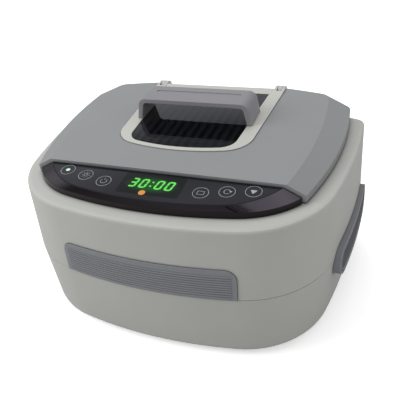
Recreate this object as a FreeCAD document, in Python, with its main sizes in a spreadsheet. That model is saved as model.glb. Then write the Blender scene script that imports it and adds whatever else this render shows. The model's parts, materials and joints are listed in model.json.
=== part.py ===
import FreeCAD, Part
import math
import os
from types import SimpleNamespace

import Sketcher

# Bench-top ultrasonic cleaner with a heated tank and a rear-hinged lid.
# Millimetres. X runs across the front, Y to the back, Z up; the feet stand on Z = 0.

os.makedirs("parts", exist_ok=True)
doc = FreeCAD.newDocument("UltrasonicCleaner")
Vector = FreeCAD.Vector
X, Y, Z = Vector(1, 0, 0), Vector(0, 1, 0), Vector(0, 0, 1)

SIZES = {
    # Casing, seen from above at the seam between its two shells
    "casing_side_room": 36.3,
    "seam_front": 115.1,
    "casing_back": 116.1,
    "front_radius": 412.0,
    "side_radius": 517.0,
    "back_radius": 412.0,
    "front_corner": 80.0,
    "back_corner": 9.0,
    "side_centre_y": 57.4,
    # How far the casing narrows below and above the seam
    "base_side_draft": 3.1,
    "base_front_draft": 0.5,
    "rim_side_draft": 1.7,
    "rim_front_draft": 4.7,
    # Casing heights
    "foot_height": 5.0,
    "seam_height": 68.0,
    "rim_height": 134.0,
    "seam_gap": 0.5,
    "casing_wall": 2.8,
    "base_edge": 5.0,
    "rim_edge": 3.5,
    "boss_radius": 5.0,
    "boss_bore": 2.0,
    "front_boss_inset": 32.3,
    "front_boss_y": 62.0,
    "rear_boss_inset": 26.3,
    "rear_boss_y": 86.0,
    "foot_radius": 10.0,
    "foot_inset": 48.3,
    "foot_front_y": 76.0,
    "foot_rear_y": 74.0,
    # Side grips
    "grip_y": 18.0,
    "grip_z": 59.5,
    "grip_length": 120.0,
    "grip_height": 30.0,
    "grip_proud": 4.7,
    "grip_bow_radius": 640.0,
    "grip_bow_y": 62.0,
    "grip_lean": 0.9,
    "grip_rim": 4.8,
    "grip_inset": 14.5,
    "grip_wall": 2.0,
    "grip_gap": 0.3,
    "grip_groove_inset": 2.2,
    "grip_groove_width": 1.3,
    "grip_groove_depth": 0.9,
    # Front badge
    "badge_half_width": 78.0,
    "badge_top": 98.0,
    "badge_corner": 10.0,
    "badge_thickness": 2.2,
    "badge_proud": 1.0,
    "badge_gap": 0.2,
    # Control panel
    "panel_front": 95.7,
    "panel_back": 59.3,
    "panel_side_room": 34.3,
    "panel_radius": 355.0,
    "panel_corner": 70.0,
    "panel_wall": 5.5,
    "lens_front": 92.8,
    "lens_side_room": 49.1,
    "lens_radius": 340.0,
    "lens_corner": 62.0,
    "lens_lift": 12.5,
    "lens_tilt": 4.6,
    "lens_thickness": 1.5,
    "lens_lip": 2.5,
    "lens_gap": 0.2,
    "board_thickness": 1.6,
    "display_length": 50.0,
    "display_depth": 20.0,
    "display_y": 74.0,
    "display_gap": 2.6,
    "board_inset": 6.5,
    "board_lift": 2.0,
    # Lid
    "lid_front": 58.0,
    "lid_side_room": 14.5,
    "lid_side_radius": 353.0,
    "lid_side_centre_y": 49.2,
    "lid_back": 115.0,
    "lid_back_radius": 415.0,
    "lid_back_corner": 10.0,
    "lid_tilt": 1.2,
    "lid_lift": 1.2,
    "lid_skirt": 6.3,
    "lid_height": 14.3,
    "lid_wall": 2.5,
    "lid_top_side_room": 34.5,
    "lid_top_side_radius": 420.0,
    "lid_top_side_centre_y": 40.0,
    "lid_top_back": 114.0,
    # Light frame round the window, with the hinge arms
    "frame_front": 25.2,
    "frame_front_radius": 178.0,
    "frame_corner": 26.0,
    "frame_half_width": 64.0,
    "frame_back_half_width": 70.0,
    "frame_back": 104.5,
    "frame_proud": 0.8,
    "frame_flange": 3.0,
    "flange_thickness": 2.0,
    "frame_gap": 0.3,
    "window_front": 20.4,
    "window_front_radius": 172.0,
    "window_corner": 16.0,
    "window_half_width": 50.8,
    "window_back_half_width": 56.5,
    "window_back": 91.5,
    "window_thickness": 2.9,
    "window_lip": 3.0,
    "window_gap": 0.15,
    # Handle
    "handle_front": 24.5,
    "handle_back": 55.0,
    "handle_half_width": 57.0,
    "handle_top_half_width": 53.4,
    "handle_height": 20.6,
    "handle_thickness": 4.2,
    "handle_corner": 8.0,
    "handle_groove": 0.8,
    "handle_screw_inset": 2.3,
    # Hinges
    "hinge_y": 108.0,
    "hinge_z": 147.0,
    "hinge_radius": 8.0,
    "hinge_inner_x": 59.5,
    "hinge_outer_x": 69.4,
    "ear_width": 4.6,
    "ear_stem": 6.4,
    "hinge_gap": 0.4,
    "pin_radius": 2.0,
    "pin_gap": 0.05,
    "arm_start_y": 92.0,
    "arm_round": 0.4,
    # Lid liner
    "liner_gap": 0.5,
    "liner_lift": 1.6,
    "liner_plate": 2.0,
    # Tank and basket
    "tank_half_length": 116.0,
    "tank_half_width": 68.0,
    "tank_y": 22.0,
    "tank_corner": 30.0,
    "tank_floor_radius": 12.0,
    "tank_depth": 81.0,
    "tank_wall": 1.0,
    "tank_flange": 6.0,
    "tank_gap": 1.2,
    "gasket_thickness": 1.0,
    "gasket_inset": 0.5,
    "basket_gap": 10.0,
    "basket_corner_drop": 8.0,
    "basket_height": 68.0,
    "basket_wall": 2.0,
    "basket_rim": 4.0,
    "basket_foot": 5.0,
    "slot_pitch": 9.4,
    "slot_width": 5.0,
    "slot_floor_margin": 6.0,
    "slot_rim_margin": 8.0,
    # Small screws and lid bumpers
    "screw_radius": 1.2,
    "screw_head_radius": 2.2,
    "screw_head": 1.2,
    "screw_length": 6.0,
    "liner_screw_x": 98.0,
    "liner_screw_front": 45.0,
    "liner_screw_rear": 85.0,
    "bumper_x": 90.0,
    "bumper_radius": 3.0,
    "bumper_stem": 1.5,
    "bumper_height": 0.5,
    "bumper_barb": 0.8,
    "bumper_barb_height": 1.2,
    "case_screw_radius": 1.5,
    "case_screw_head_radius": 3.5,
    "case_screw_head": 1.5,
    # Transducers
    "transducer_x": 58.0,
    "horn_radius": 22.0,
    "stack_radius": 19.0,
    "horn_height": 14.0,
    "piezo_thickness": 4.0,
    "back_mass_height": 10.0,
    "bolt_radius": 4.0,
    "bolt_head_radius": 6.5,
    "bolt_head_height": 4.5,
    "bolt_gap": 0.05,
    # Heater and thermostat
    "heater_half_length": 75.0,
    "heater_height": 46.0,
    "heater_thickness": 1.5,
    "heater_lift": 2.0,
    "thermostat_radius": 8.0,
    "thermostat_height": 9.0,
    # Driver board
    "driver_length": 140.0,
    "driver_depth": 40.0,
    "driver_x": -10.0,
    "driver_y": 78.0,
    "standoff_height": 6.0,
    "standoff_radius": 3.5,
    "component_gap": 8.0,
    "sink_length": 44.0,
    "sink_depth": 22.0,
    "sink_height": 30.0,
    "sink_base": 4.0,
    "coil_length": 26.0,
    "coil_depth": 24.0,
    "coil_height": 24.0,
    "bobbin_proud": 3.0,
    "capacitor_radius": 7.0,
    "capacitor_height": 22.0,
    # Fan
    "fan_inset": 54.3,
    "fan_y": 28.0,
    "fan_size": 40.0,
    "fan_depth": 12.0,
    "fan_lift": 2.0,
    "fan_bore": 18.5,
    "fan_screw_share": 0.4,
    "strut_half_width": 1.0,
    "vent_half_width": 1.0,
    "floor_slot_half_width": 1.5,
    "rotor_radius": 17.6,
    "rotor_lift": 1.0,
    "rotor_gap": 0.5,
    "hub_radius": 8.0,
    "blade_thickness": 1.2,
    # Power inlet
    "inlet_z": 31.0,
    "inlet_flange_half_width": 25.0,
    "inlet_flange_half_height": 14.0,
    "inlet_flange": 2.4,
    "inlet_recess": 3.4,
    "inlet_body_half_width": 14.0,
    "inlet_body_half_height": 10.0,
    "inlet_body_depth": 20.0,
    "socket_half_width": 12.2,
    "socket_half_height": 8.2,
    "socket_depth": 17.0,
    "inlet_screw_x": 20.0,
    "inlet_screw_radius": 1.5,
    "inlet_screw_head_radius": 2.8,
    "inlet_screw_head": 0.9,
    "inlet_gap": 0.3,
    "inlet_pad_rim": 6.0,
    "pin_spread": 7.0,
    "pin_low": -1.5,
    "pin_high": 2.5,
    "pin_half_width": 1.0,
    "pin_half_height": 2.0,
    "pin_depth": 5.0,
    # Wiring
    "lead_radius": 1.2,
    "lead_spread": 4.0,
    "lead_margin": 3.0,
    "mains_lead_x": 26.0,
}
BLADES = 7
VENT_SLOTS = 9
SINK_GAPS = 5

sheet = doc.addObject("Spreadsheet::Sheet", "Sizes")
for row, (alias, number) in enumerate(SIZES.items(), 1):
    sheet.set(f"A{row}", alias.replace("_", " "))
    sheet.set(f"B{row}", str(number))
    sheet.setAlias(f"B{row}", alias)
doc.recompute()


class Size:
    """A number together with the spreadsheet expression that gives it.

    A height on the lid's sloping top also carries the slope, and holds at y = 0.
    """

    def __init__(self, value, text=None, slope=None):
        self.value = float(value)
        self.text = text or repr(float(value))
        self.slope = slope

    def joined(self, sign, other, value):
        return Size(value, f"({self.text} {sign} {other.text})", self.slope or other.slope)

    def at(self, y):
        """The level height of a sloping height at y."""
        rise = Size(math.tan(math.radians(self.slope.value)), f"tan({self.slope.text} * 1deg)")
        flat = Size(self.value, self.text)
        return flat + rise * y

    def __add__(self, other):
        other = as_size(other)
        return self.joined("+", other, self.value + other.value)

    def __radd__(self, other):
        return as_size(other) + self

    def __sub__(self, other):
        other = as_size(other)
        return self.joined("-", other, self.value - other.value)

    def __rsub__(self, other):
        return as_size(other) - self

    def __mul__(self, other):
        other = as_size(other)
        return self.joined("*", other, self.value * other.value)

    def __rmul__(self, other):
        return self * other

    def __truediv__(self, other):
        other = as_size(other)
        return self.joined("/", other, self.value / other.value)

    def __neg__(self):
        return Size(-self.value, f"(0 - {self.text})")


def as_size(number):
    return number if isinstance(number, Size) else Size(number)


s = SimpleNamespace(**{alias: Size(number, f"Sizes.{alias}") for alias, number in SIZES.items()})

# The casing is as long as the tank needs, and what stands on it follows
s.seam_half_width = s.tank_half_length + s.casing_side_room
s.panel_half_width = s.seam_half_width - s.panel_side_room
s.lens_half_width = s.seam_half_width - s.lens_side_room
s.lid_half_width = s.seam_half_width - s.lid_side_room
s.lid_top_half_width = s.seam_half_width - s.lid_top_side_room
s.front_boss_x = s.seam_half_width - s.front_boss_inset
s.rear_boss_x = s.seam_half_width - s.rear_boss_inset
s.foot_x = s.seam_half_width - s.foot_inset
s.fan_x = s.seam_half_width - s.fan_inset
s.basket_half_length = s.tank_half_length - s.basket_gap
s.basket_half_width = s.tank_half_width - s.basket_gap
s.basket_corner = s.tank_corner - s.basket_corner_drop

# Levels and places that several pieces share
base_bottom = s.foot_height
floor_top = base_bottom + s.casing_wall
upper_bottom = s.seam_height + s.seam_gap
ledge_under = s.rim_height - s.casing_wall
lid_bottom = s.rim_height + s.lid_lift
lid_rise = Size(math.tan(math.radians(s.lid_tilt.value)), f"tan({s.lid_tilt.text} * 1deg)")
lid_lean = Size(math.sin(math.radians(s.lid_tilt.value)), f"sin({s.lid_tilt.text} * 1deg)")
lid_slope = Size(0, "0", s.lid_tilt)
skirt_top = lid_bottom + s.lid_skirt + lid_rise * s.lid_front + lid_slope
lid_top = lid_bottom + s.lid_height + lid_rise * s.lid_front + lid_slope
frame_bottom = lid_top - s.lid_wall
frame_top = lid_top + s.frame_proud
flange_bottom = frame_bottom - s.flange_thickness
handle_top = frame_top.at(s.handle_front) + s.handle_height
flange_under = s.rim_height + s.gasket_thickness
flange_top = flange_under + s.tank_wall
tank_floor = flange_top - s.tank_depth
tank_under = tank_floor - s.tank_wall
liner_bottom = lid_bottom + s.liner_lift
liner_top = liner_bottom + s.liner_plate
lens_back_z = s.rim_height + s.lens_lift
control_board_bottom = s.rim_height + s.board_lift
cable_y = s.panel_back + 4 * s.casing_wall
display_bottom = control_board_bottom + s.board_thickness
board_bottom = floor_top + s.standoff_height
board_top = board_bottom + s.board_thickness
fan_top = floor_top + s.fan_depth
recess_y = s.casing_back - s.inlet_recess
inlet_face_y = recess_y + s.inlet_flange
hinge_width = s.hinge_outer_x - s.hinge_inner_x
ear_x = s.hinge_inner_x + hinge_width / 2
grip_back = s.seam_half_width - s.grip_inset


# ---------------------------------------------------------------- features

def body(name):
    new = doc.addObject("PartDesign::Body", name)
    new.Label = name
    return new


def bind(thing, prop, size):
    size = as_size(size)
    thing.setExpression(prop, size.text)


def sketch(owner, name, plane="XY", height=0, tilt=None):
    """A sketch on one of the body's own planes, moved along that plane's normal."""
    new = owner.newObject("Sketcher::SketchObject", name)
    origin = [f for f in owner.Origin.OriginFeatures if f.Role == f"{plane}_Plane"][0]
    new.AttachmentSupport = (origin, [""])
    new.MapMode = "FlatFace"
    height = as_size(height)
    tilt = tilt or height.slope
    turn = FreeCAD.Rotation(X, tilt.value) if tilt else FreeCAD.Rotation()
    new.AttachmentOffset = FreeCAD.Placement(Vector(0, 0, height.value), turn)
    if tilt:
        bind(new, ".AttachmentOffset.Rotation.Angle", tilt)
    bind(new, ".AttachmentOffset.Base.z", height)
    return new


def place(drawing, geometry, point, x=None, y=None):
    """Ties a point of the drawing to the origin, across and up."""
    for kind, size, axis in (("DistanceX", x, -2), ("DistanceY", y, -1)):
        if size is None:
            continue
        size = as_size(size)
        if size.value == 0:
            drawing.addConstraint(Sketcher.Constraint("PointOnObject", geometry, point, axis))
            continue
        rule = Sketcher.Constraint(kind, -1, 1, geometry, point, size.value)
        bind(drawing, f"Constraints[{drawing.addConstraint(rule)}]", size)


def radius(drawing, geometry, size):
    rule = Sketcher.Constraint("Radius", geometry, size.value)
    bind(drawing, f"Constraints[{drawing.addConstraint(rule)}]", size)


def join(drawing, smooth):
    """Joins each line or arc to the next, tangent where smooth says so."""
    count = len(smooth)
    rules = []
    for i, is_smooth in enumerate(smooth):
        rules.append(Sketcher.Constraint("Tangent" if is_smooth else "Coincident", i, 2, (i + 1) % count, 1))
    drawing.addConstraint(rules)


def angle_of(vector):
    return math.atan2(vector.y, vector.x)


def arc(centre, size, start, end):
    """The arc about centre that runs anticlockwise from the direction of start to that of end."""
    first, last = angle_of(start - centre), angle_of(end - centre)
    if last < first:
        last += 2 * math.pi
    return Part.ArcOfCircle(Part.Circle(centre, Z, size), first, last)


def meet(centre_a, radius_a, centre_b, radius_b, outward):
    """Where two circles cross, on the side that outward points to."""
    across = centre_b - centre_a
    gap = across.Length
    along = (radius_a ** 2 - radius_b ** 2 + gap ** 2) / (2 * gap)
    up = math.sqrt(radius_a ** 2 - along ** 2)
    across.normalize()
    side = Vector(-across.y, across.x, 0) * up
    middle = centre_a + across * along
    return middle + side if side.dot(outward) > 0 else middle - side


def flipped(point):
    return Vector(-point.x, point.y, 0)


def touch(centre, size, corner_centre):
    """Where an arc about centre runs into the corner arc inside it."""
    return centre + (corner_centre - centre).normalize() * size


def casing_outline(owner, name, height, half, front, back, grow=0):
    """Eight tangent arcs: bowed front, sides and back, with a corner arc between each pair."""
    drawing = sketch(owner, name, height=height)
    half, front, back = half + grow, front + grow, back + grow
    r_front, r_side, r_back = s.front_radius + grow, s.side_radius + grow, s.back_radius + grow
    r_near, r_far = s.front_corner + grow, s.back_corner + grow
    c_front = Vector(0, r_front.value - front.value, 0)
    c_back = Vector(0, back.value - r_back.value, 0)
    c_side = Vector(half.value - r_side.value, s.side_centre_y.value, 0)
    near = meet(c_front, r_front.value - r_near.value, c_side, r_side.value - r_near.value, X - Y)
    far = meet(c_side, r_side.value - r_far.value, c_back, r_back.value - r_far.value, X + Y)
    a = touch(c_front, r_front.value, near)
    b = touch(c_side, r_side.value, near)
    c = touch(c_side, r_side.value, far)
    d = touch(c_back, r_back.value, far)
    drawing.addGeometry([
        arc(c_front, r_front.value, flipped(a), a), arc(near, r_near.value, a, b),
        arc(c_side, r_side.value, b, c), arc(far, r_far.value, c, d),
        arc(c_back, r_back.value, d, flipped(d)), arc(flipped(far), r_far.value, flipped(d), flipped(c)),
        arc(flipped(c_side), r_side.value, flipped(c), flipped(b)),
        arc(flipped(near), r_near.value, flipped(b), flipped(a))])
    join(drawing, [True] * 8)
    for geometry, size in enumerate((r_front, r_near, r_side, r_far, r_back, r_far, r_side, r_near)):
        radius(drawing, geometry, size)
    place(drawing, 0, 3, 0, r_front - front)
    place(drawing, 4, 3, 0, back - r_back)
    place(drawing, 2, 3, half - r_side, s.side_centre_y)
    place(drawing, 6, 3, r_side - half, s.side_centre_y)
    return drawing


def lid_outline(owner, name, height, half, r_side, side_y, front, back, inset=0):
    """Straight front, bowed sides and a bowed back with rounded corners."""
    drawing = sketch(owner, name, height=height)
    half, r_side, front, back = half - inset, r_side - inset, front - inset, back - inset
    r_back, r_far = s.lid_back_radius - inset, s.lid_back_corner - inset
    c_back = Vector(0, back.value - r_back.value, 0)
    c_side = Vector(half.value - r_side.value, side_y.value, 0)
    far = meet(c_side, r_side.value - r_far.value, c_back, r_back.value - r_far.value, X + Y)
    depth = side_y.value + front.value
    b = Vector(c_side.x + math.sqrt(r_side.value ** 2 - depth ** 2), -front.value, 0)
    c = touch(c_side, r_side.value, far)
    d = touch(c_back, r_back.value, far)
    drawing.addGeometry([
        Part.LineSegment(flipped(b), b), arc(c_side, r_side.value, b, c), arc(far, r_far.value, c, d),
        arc(c_back, r_back.value, d, flipped(d)), arc(flipped(far), r_far.value, flipped(d), flipped(c)),
        arc(flipped(c_side), r_side.value, flipped(c), flipped(b))])
    join(drawing, [False, True, True, True, True, False])
    drawing.addConstraint(Sketcher.Constraint("Horizontal", 0))
    for geometry, size in enumerate((r_side, r_far, r_back, r_far, r_side), 1):
        radius(drawing, geometry, size)
    place(drawing, 0, 1, y=-front)
    place(drawing, 3, 3, 0, back - r_back)
    place(drawing, 1, 3, half - r_side, side_y)
    place(drawing, 5, 3, r_side - half, side_y)
    return drawing


def panel_outline(owner, name, height, half, front, back, r_front, r_corner, tilt=None, inset=0):
    """Straight back edge and a bowed front that rounds off into it."""
    drawing = sketch(owner, name, height=height, tilt=tilt)
    half, front, back = half - inset, front - inset, back + inset
    r_front, r_corner = r_front - inset, r_corner - inset
    c_front = Vector(0, r_front.value - front.value, 0)
    end = Vector(half.value, -back.value, 0)
    near = meet(c_front, r_front.value - r_corner.value, end, r_corner.value, Vector(-1, -1, 0))
    a = touch(c_front, r_front.value, near)
    drawing.addGeometry([
        arc(c_front, r_front.value, flipped(a), a), arc(near, r_corner.value, a, end),
        Part.LineSegment(end, flipped(end)), arc(flipped(near), r_corner.value, flipped(end), flipped(a))])
    join(drawing, [True, False, False, True])
    for geometry, size in ((0, r_front), (1, r_corner), (3, r_corner)):
        radius(drawing, geometry, size)
    place(drawing, 0, 3, 0, r_front - front)
    place(drawing, 2, 1, half, -back)
    place(drawing, 2, 2, -half, -back)
    return drawing


def window_outline(owner, name, height, half, half_back, front, back, r_front, r_corner, grow=0):
    """Bowed front with round corners, nearly straight sides and a straight back."""
    drawing = sketch(owner, name, height=height)
    half, half_back, front = half + grow, half_back + grow, front + grow
    r_front, r_corner = r_front + grow, r_corner + grow
    c_front = Vector(0, r_front.value - front.value, 0)
    reach = r_front.value - r_corner.value
    x = half.value - r_corner.value
    near = Vector(x, c_front.y - math.sqrt(reach ** 2 - x ** 2), 0)
    a = touch(c_front, r_front.value, near)
    b = near + X * r_corner.value
    end = Vector(half_back.value, back.value, 0)
    drawing.addGeometry([
        arc(c_front, r_front.value, flipped(a), a), arc(near, r_corner.value, a, b),
        Part.LineSegment(b, end), Part.LineSegment(end, flipped(end)),
        Part.LineSegment(flipped(end), flipped(b)),
        arc(flipped(near), r_corner.value, flipped(b), flipped(a))])
    join(drawing, [True, True, False, False, True, True])
    for geometry, size in ((0, r_front), (1, r_corner), (5, r_corner)):
        radius(drawing, geometry, size)
    place(drawing, 0, 3, 0, r_front - front)
    place(drawing, 1, 3, x=half - r_corner)
    place(drawing, 5, 3, x=r_corner - half)
    place(drawing, 3, 1, half_back, back)
    place(drawing, 3, 2, -half_back, back)
    return drawing


def rounded_rectangle(owner, name, height, left, right, near, far, corner, plane="XY"):
    """Four lines and four equal corner arcs. The sides are positions along the sketch's axes."""
    drawing = sketch(owner, name, plane, height)
    left, right, near, far, corner = (as_size(v) for v in (left, right, near, far, corner))
    r, x0, x1, y0, y1 = corner.value, left.value, right.value, near.value, far.value
    centres = (Vector(x1 - r, y0 + r, 0), Vector(x1 - r, y1 - r, 0),
               Vector(x0 + r, y1 - r, 0), Vector(x0 + r, y0 + r, 0))
    turns = (-Y, X, Y, -X)
    for i, centre in enumerate(centres):
        before, after = centres[i - 1] + turns[i] * r, centre + turns[i] * r
        end = centre + turns[(i + 1) % 4] * r
        drawing.addGeometry([Part.LineSegment(before, after), arc(centre, r, after, end)])
    join(drawing, [True] * 8)
    for geometry in (1, 3, 5, 7):
        radius(drawing, geometry, corner)
    drawing.addConstraint([Sketcher.Constraint(kind, i) for i, kind in
                           ((0, "Horizontal"), (2, "Vertical"), (4, "Horizontal"), (6, "Vertical"))])
    place(drawing, 0, 1, y=near)
    place(drawing, 2, 1, x=right)
    place(drawing, 4, 1, y=far)
    place(drawing, 6, 1, x=left)
    return drawing


def stadium(owner, name, height, middle_x, middle_y, length, width, plane="XY"):
    """Two straight sides closed by half circles."""
    drawing = sketch(owner, name, plane, height)
    middle_x, middle_y, length, width = (as_size(v) for v in (middle_x, middle_y, length, width))
    r, reach = width / 2, (length - width) / 2
    right = Vector(middle_x.value + reach.value, middle_y.value, 0)
    left = Vector(middle_x.value - reach.value, middle_y.value, 0)
    up = Y * r.value
    drawing.addGeometry([
        Part.LineSegment(left - up, right - up), arc(right, r.value, right - up, right + up),
        Part.LineSegment(right + up, left + up), arc(left, r.value, left + up, left - up)])
    join(drawing, [True] * 4)
    radius(drawing, 1, r)
    place(drawing, 1, 3, middle_x + reach, middle_y)
    place(drawing, 3, 3, middle_x - reach, middle_y)
    return drawing


def polygon(owner, name, plane, height, points):
    drawing = sketch(owner, name, plane, height)
    corners = [Vector(as_size(x).value, as_size(y).value, 0) for x, y in points]
    for i, corner in enumerate(corners):
        drawing.addGeometry(Part.LineSegment(corner, corners[(i + 1) % len(corners)]))
    join(drawing, [False] * len(corners))
    for i, (x, y) in enumerate(points):
        place(drawing, i, 1, x, y)
    return drawing


def rectangles(owner, name, plane, height, frames):
    """Closed rectangles, each given as left, right, near and far positions."""
    drawing = sketch(owner, name, plane, height)
    for i, frame in enumerate(frames):
        left, right, near, far = (as_size(v) for v in frame)
        corners = [(left, near), (right, near), (right, far), (left, far)]
        ends = [Vector(x.value, y.value, 0) for x, y in corners]
        for k in range(4):
            drawing.addGeometry(Part.LineSegment(ends[k], ends[(k + 1) % 4]))
        first = 4 * i
        for k, way in enumerate(("Horizontal", "Vertical", "Horizontal", "Vertical")):
            drawing.addConstraint(Sketcher.Constraint("Coincident", first + k, 2, first + (k + 1) % 4, 1))
            drawing.addConstraint(Sketcher.Constraint(way, first + k))
        place(drawing, first, 1, left, near)
        place(drawing, first + 2, 1, right, far)
    return drawing


def circles(owner, name, plane, height, spots, size):
    drawing = sketch(owner, name, plane, height)
    for i, (x, y) in enumerate(spots):
        x, y = as_size(x), as_size(y)
        drawing.addGeometry(Part.Circle(Vector(x.value, y.value, 0), Z, size.value))
        radius(drawing, i, size)
        place(drawing, i, 3, x, y)
    return drawing


def volume_of(owner):
    return owner.Shape.Volume if owner.Shape and not owner.Shape.isNull() else 0.0


def recompute_and_check(owner, name, before, grows):
    """Makes sure that a new feature adds or removes material as it should."""
    doc.recompute()
    change = volume_of(owner) - before
    if (change <= 0) == grows:
        raise RuntimeError(f"{owner.Label}.{name} changed the volume by {change:.1f}")


def feature(owner, kind, name, grows, **bindings):
    """Adds a feature; grows is None where it may add or remove material."""
    before = volume_of(owner)
    profile = bindings.pop("profile", None)
    sections = bindings.pop("sections", None)
    new = owner.newObject(f"PartDesign::{kind}", name)
    if profile:
        new.Profile = profile
    if sections:
        new.Sections = sections
        new.Ruled = True
    for prop, value in bindings.items():
        if isinstance(value, Size):
            bind(new, prop, value)
        else:
            setattr(new, prop, value)
    if grows is None:
        doc.recompute()
    else:
        recompute_and_check(owner, name, before, grows)
    return new


def pad(owner, name, profile, length, back=False):
    return feature(owner, "Pad", name, True, profile=profile, Length=as_size(length), Reversed=back)


def pocket(owner, name, profile, length, back=False):
    return feature(owner, "Pocket", name, False, profile=profile, Length=as_size(length), Reversed=back)


def cut_through(owner, name, profile, length):
    """A pocket both ways from its outline, so that no film is left where the outline lies on a slope."""
    return feature(owner, "Pocket", name, False, profile=profile, Length=2 * as_size(length),
                   SideType="Symmetric")


def loft(owner, name, *sections, cut=False):
    kind = "SubtractiveLoft" if cut else "AdditiveLoft"
    return feature(owner, kind, name, not cut, profile=sections[0], sections=list(sections[1:]))


def block(owner, name, x, y, z, cut=False):
    """A box between two positions along each axis."""
    before = volume_of(owner)
    new = owner.newObject("PartDesign::SubtractiveBox" if cut else "PartDesign::AdditiveBox", name)
    for prop, letter, (low, high) in (("Length", "x", x), ("Width", "y", y), ("Height", "z", z)):
        low, high = as_size(low), as_size(high)
        bind(new, prop, high - low)
        bind(new, f".Placement.Base.{letter}", low)
    recompute_and_check(owner, name, before, not cut)
    return new


TURNS = {"Z": FreeCAD.Rotation(), "Y": FreeCAD.Rotation(X, -90), "X": FreeCAD.Rotation(Y, 90)}


def rod(owner, name, start, size, length, axis="Z", cut=False, end_size=None):
    """A cylinder, or a cone with end_size, from start along the axis."""
    before = volume_of(owner)
    shape = "Cylinder" if end_size is None else "Cone"
    new = owner.newObject(f"PartDesign::{'Subtractive' if cut else 'Additive'}{shape}", name)
    new.Placement = FreeCAD.Placement(Vector(), TURNS[axis])
    if end_size is None:
        bind(new, "Radius", size)
    else:
        bind(new, "Radius1", size)
        bind(new, "Radius2", end_size)
    bind(new, "Height", length)
    for letter, position in zip("xyz", start):
        bind(new, f".Placement.Base.{letter}", position)
    recompute_and_check(owner, name, before, not cut)
    return new


def round_edges(owner, name, test, size):
    """Fillets the edges of the body's last feature that pass the test."""
    base = owner.Tip
    names = [f"Edge{i}" for i, edge in enumerate(base.Shape.Edges, 1) if test(edge)]
    return feature(owner, "Fillet", name, None, Base=(base, names), Radius=size)


def level(edge, height):
    box = edge.BoundBox
    return abs(box.ZMin - height.value) < 0.01 and abs(box.ZMax - height.value) < 0.01


def corner_at(edge, height):
    """A level edge that runs from front to back."""
    return level(edge, height) and edge.BoundBox.XLength < 0.01


def combine(kind, name, base, tool):
    """Part::Cut or Part::Common of two objects."""
    new = doc.addObject(f"Part::{kind}", name)
    new.Base, new.Tool = base, tool
    new.Label = name
    return new


def mirrored(name, source):
    new = doc.addObject("Part::Mirroring", name)
    new.Source, new.Normal, new.Base = source, X, Vector()
    new.Label = name
    return new


def group(name, members):
    new = doc.addObject("Part::Compound", name)
    new.Links = members
    new.Label = name
    return new


nodes = []


def node(thing, name=None):
    """Marks a finished piece for export under its own name."""
    thing.Label = name or thing.Label
    nodes.append(thing)
    return thing


CORNERS = ((-1, "left"), (1, "right"))
liner_screw_spots = [(side * s.liner_screw_x, y) for side in (-1, 1)
                     for y in (-s.liner_screw_front, s.liner_screw_rear)]
screw_bore = s.screw_radius + s.bolt_gap
flange_middle = s.tank_half_width + s.tank_wall + s.tank_flange / 2
bumper_spots = [(side * s.bumper_x, s.tank_y + end * flange_middle) for side in (-1, 1) for end in (-1, 1)]
handle_screw_x = s.handle_half_width - s.handle_screw_inset
handle_screw_rows = (s.handle_front + 2 * s.handle_thickness, s.handle_back - 2 * s.handle_thickness)
handle_screw_spots = [(side * handle_screw_x, y) for side in (-1, 1) for y in handle_screw_rows]
# The same slanting screws, where they come through the flange
handle_head_spots = [(x, y + (frame_top - flange_bottom) * lid_lean) for x, y in handle_screw_spots]
fan_reach = s.fan_screw_share * s.fan_size
fan_screw_spots = [(s.fan_x + a * fan_reach, b * fan_reach - s.fan_y) for a in (-1, 1) for b in (-1, 1)]
boss_spots = [(side * x, y) for side in (-1, 1) for x, y in
              ((s.front_boss_x, -s.front_boss_y), (s.rear_boss_x, s.rear_boss_y))]
foot_spots = [(side * s.foot_x, y) for side in (-1, 1) for y in (-s.foot_front_y, s.foot_rear_y)]


# ---------------------------------------------------------------- casing forms

# A rounded edge in four steps: how far below the edge, and how far in, as shares of its size
ROUNDING = ((1.0, 0.0), (0.55, 0.1), (0.22, 0.35), (0.0, 1.0))


def lower_form(owner, name, grow, bottom, edge=None, cut=False):
    """The casing below the seam: narrowest at the floor, widest at the seam."""
    steps = [(bottom, 0)]
    if edge:
        steps = [(bottom + up * edge, inset * edge) for up, inset in reversed(ROUNDING)]
    levels = [casing_outline(owner, f"{name}_low_{i}", height, s.seam_half_width - s.base_side_draft,
                             s.seam_front - s.base_front_draft, s.casing_back, grow - inset)
              for i, (height, inset) in enumerate(steps)]
    levels.append(casing_outline(owner, f"{name}_seam", s.seam_height, s.seam_half_width, s.seam_front,
                                 s.casing_back, grow))
    return loft(owner, name, *levels, cut=cut)


def upper_form(owner, name, grow, bottom, top, edge=None, cut=False):
    """The casing above the seam: it draws in towards the rim, most at the front."""
    levels = [casing_outline(owner, f"{name}_seam", bottom, s.seam_half_width, s.seam_front,
                             s.casing_back, grow)]
    steps = [(top, 0)]
    if edge:
        steps = [(top - down * edge, inset * edge) for down, inset in ROUNDING]
    levels += [casing_outline(owner, f"{name}_rim_{i}", height, s.seam_half_width - s.rim_side_draft,
                              s.seam_front - s.rim_front_draft, s.casing_back, grow - inset)
               for i, (height, inset) in enumerate(steps)]
    return loft(owner, name, *levels, cut=cut)


def casing_skin(name, grow):
    """A solid as large as the whole casing, grown outwards or shrunk."""
    owner = body(name)
    lower_form(owner, f"{name}_lower", grow, base_bottom)
    upper_form(owner, f"{name}_upper", grow, s.seam_height, s.rim_height)
    return owner


def grip_prism(name, gap, start):
    """The side grip's outline, run outwards through the right wall."""
    owner = body(name)
    outline = stadium(owner, f"{name}_outline", start, s.grip_y, s.grip_z, s.grip_length + 2 * gap,
                      s.grip_height + 2 * gap, plane="YZ")
    pad(owner, f"{name}_run", outline, s.seam_half_width + 2 * s.grip_proud - start)
    return owner


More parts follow.
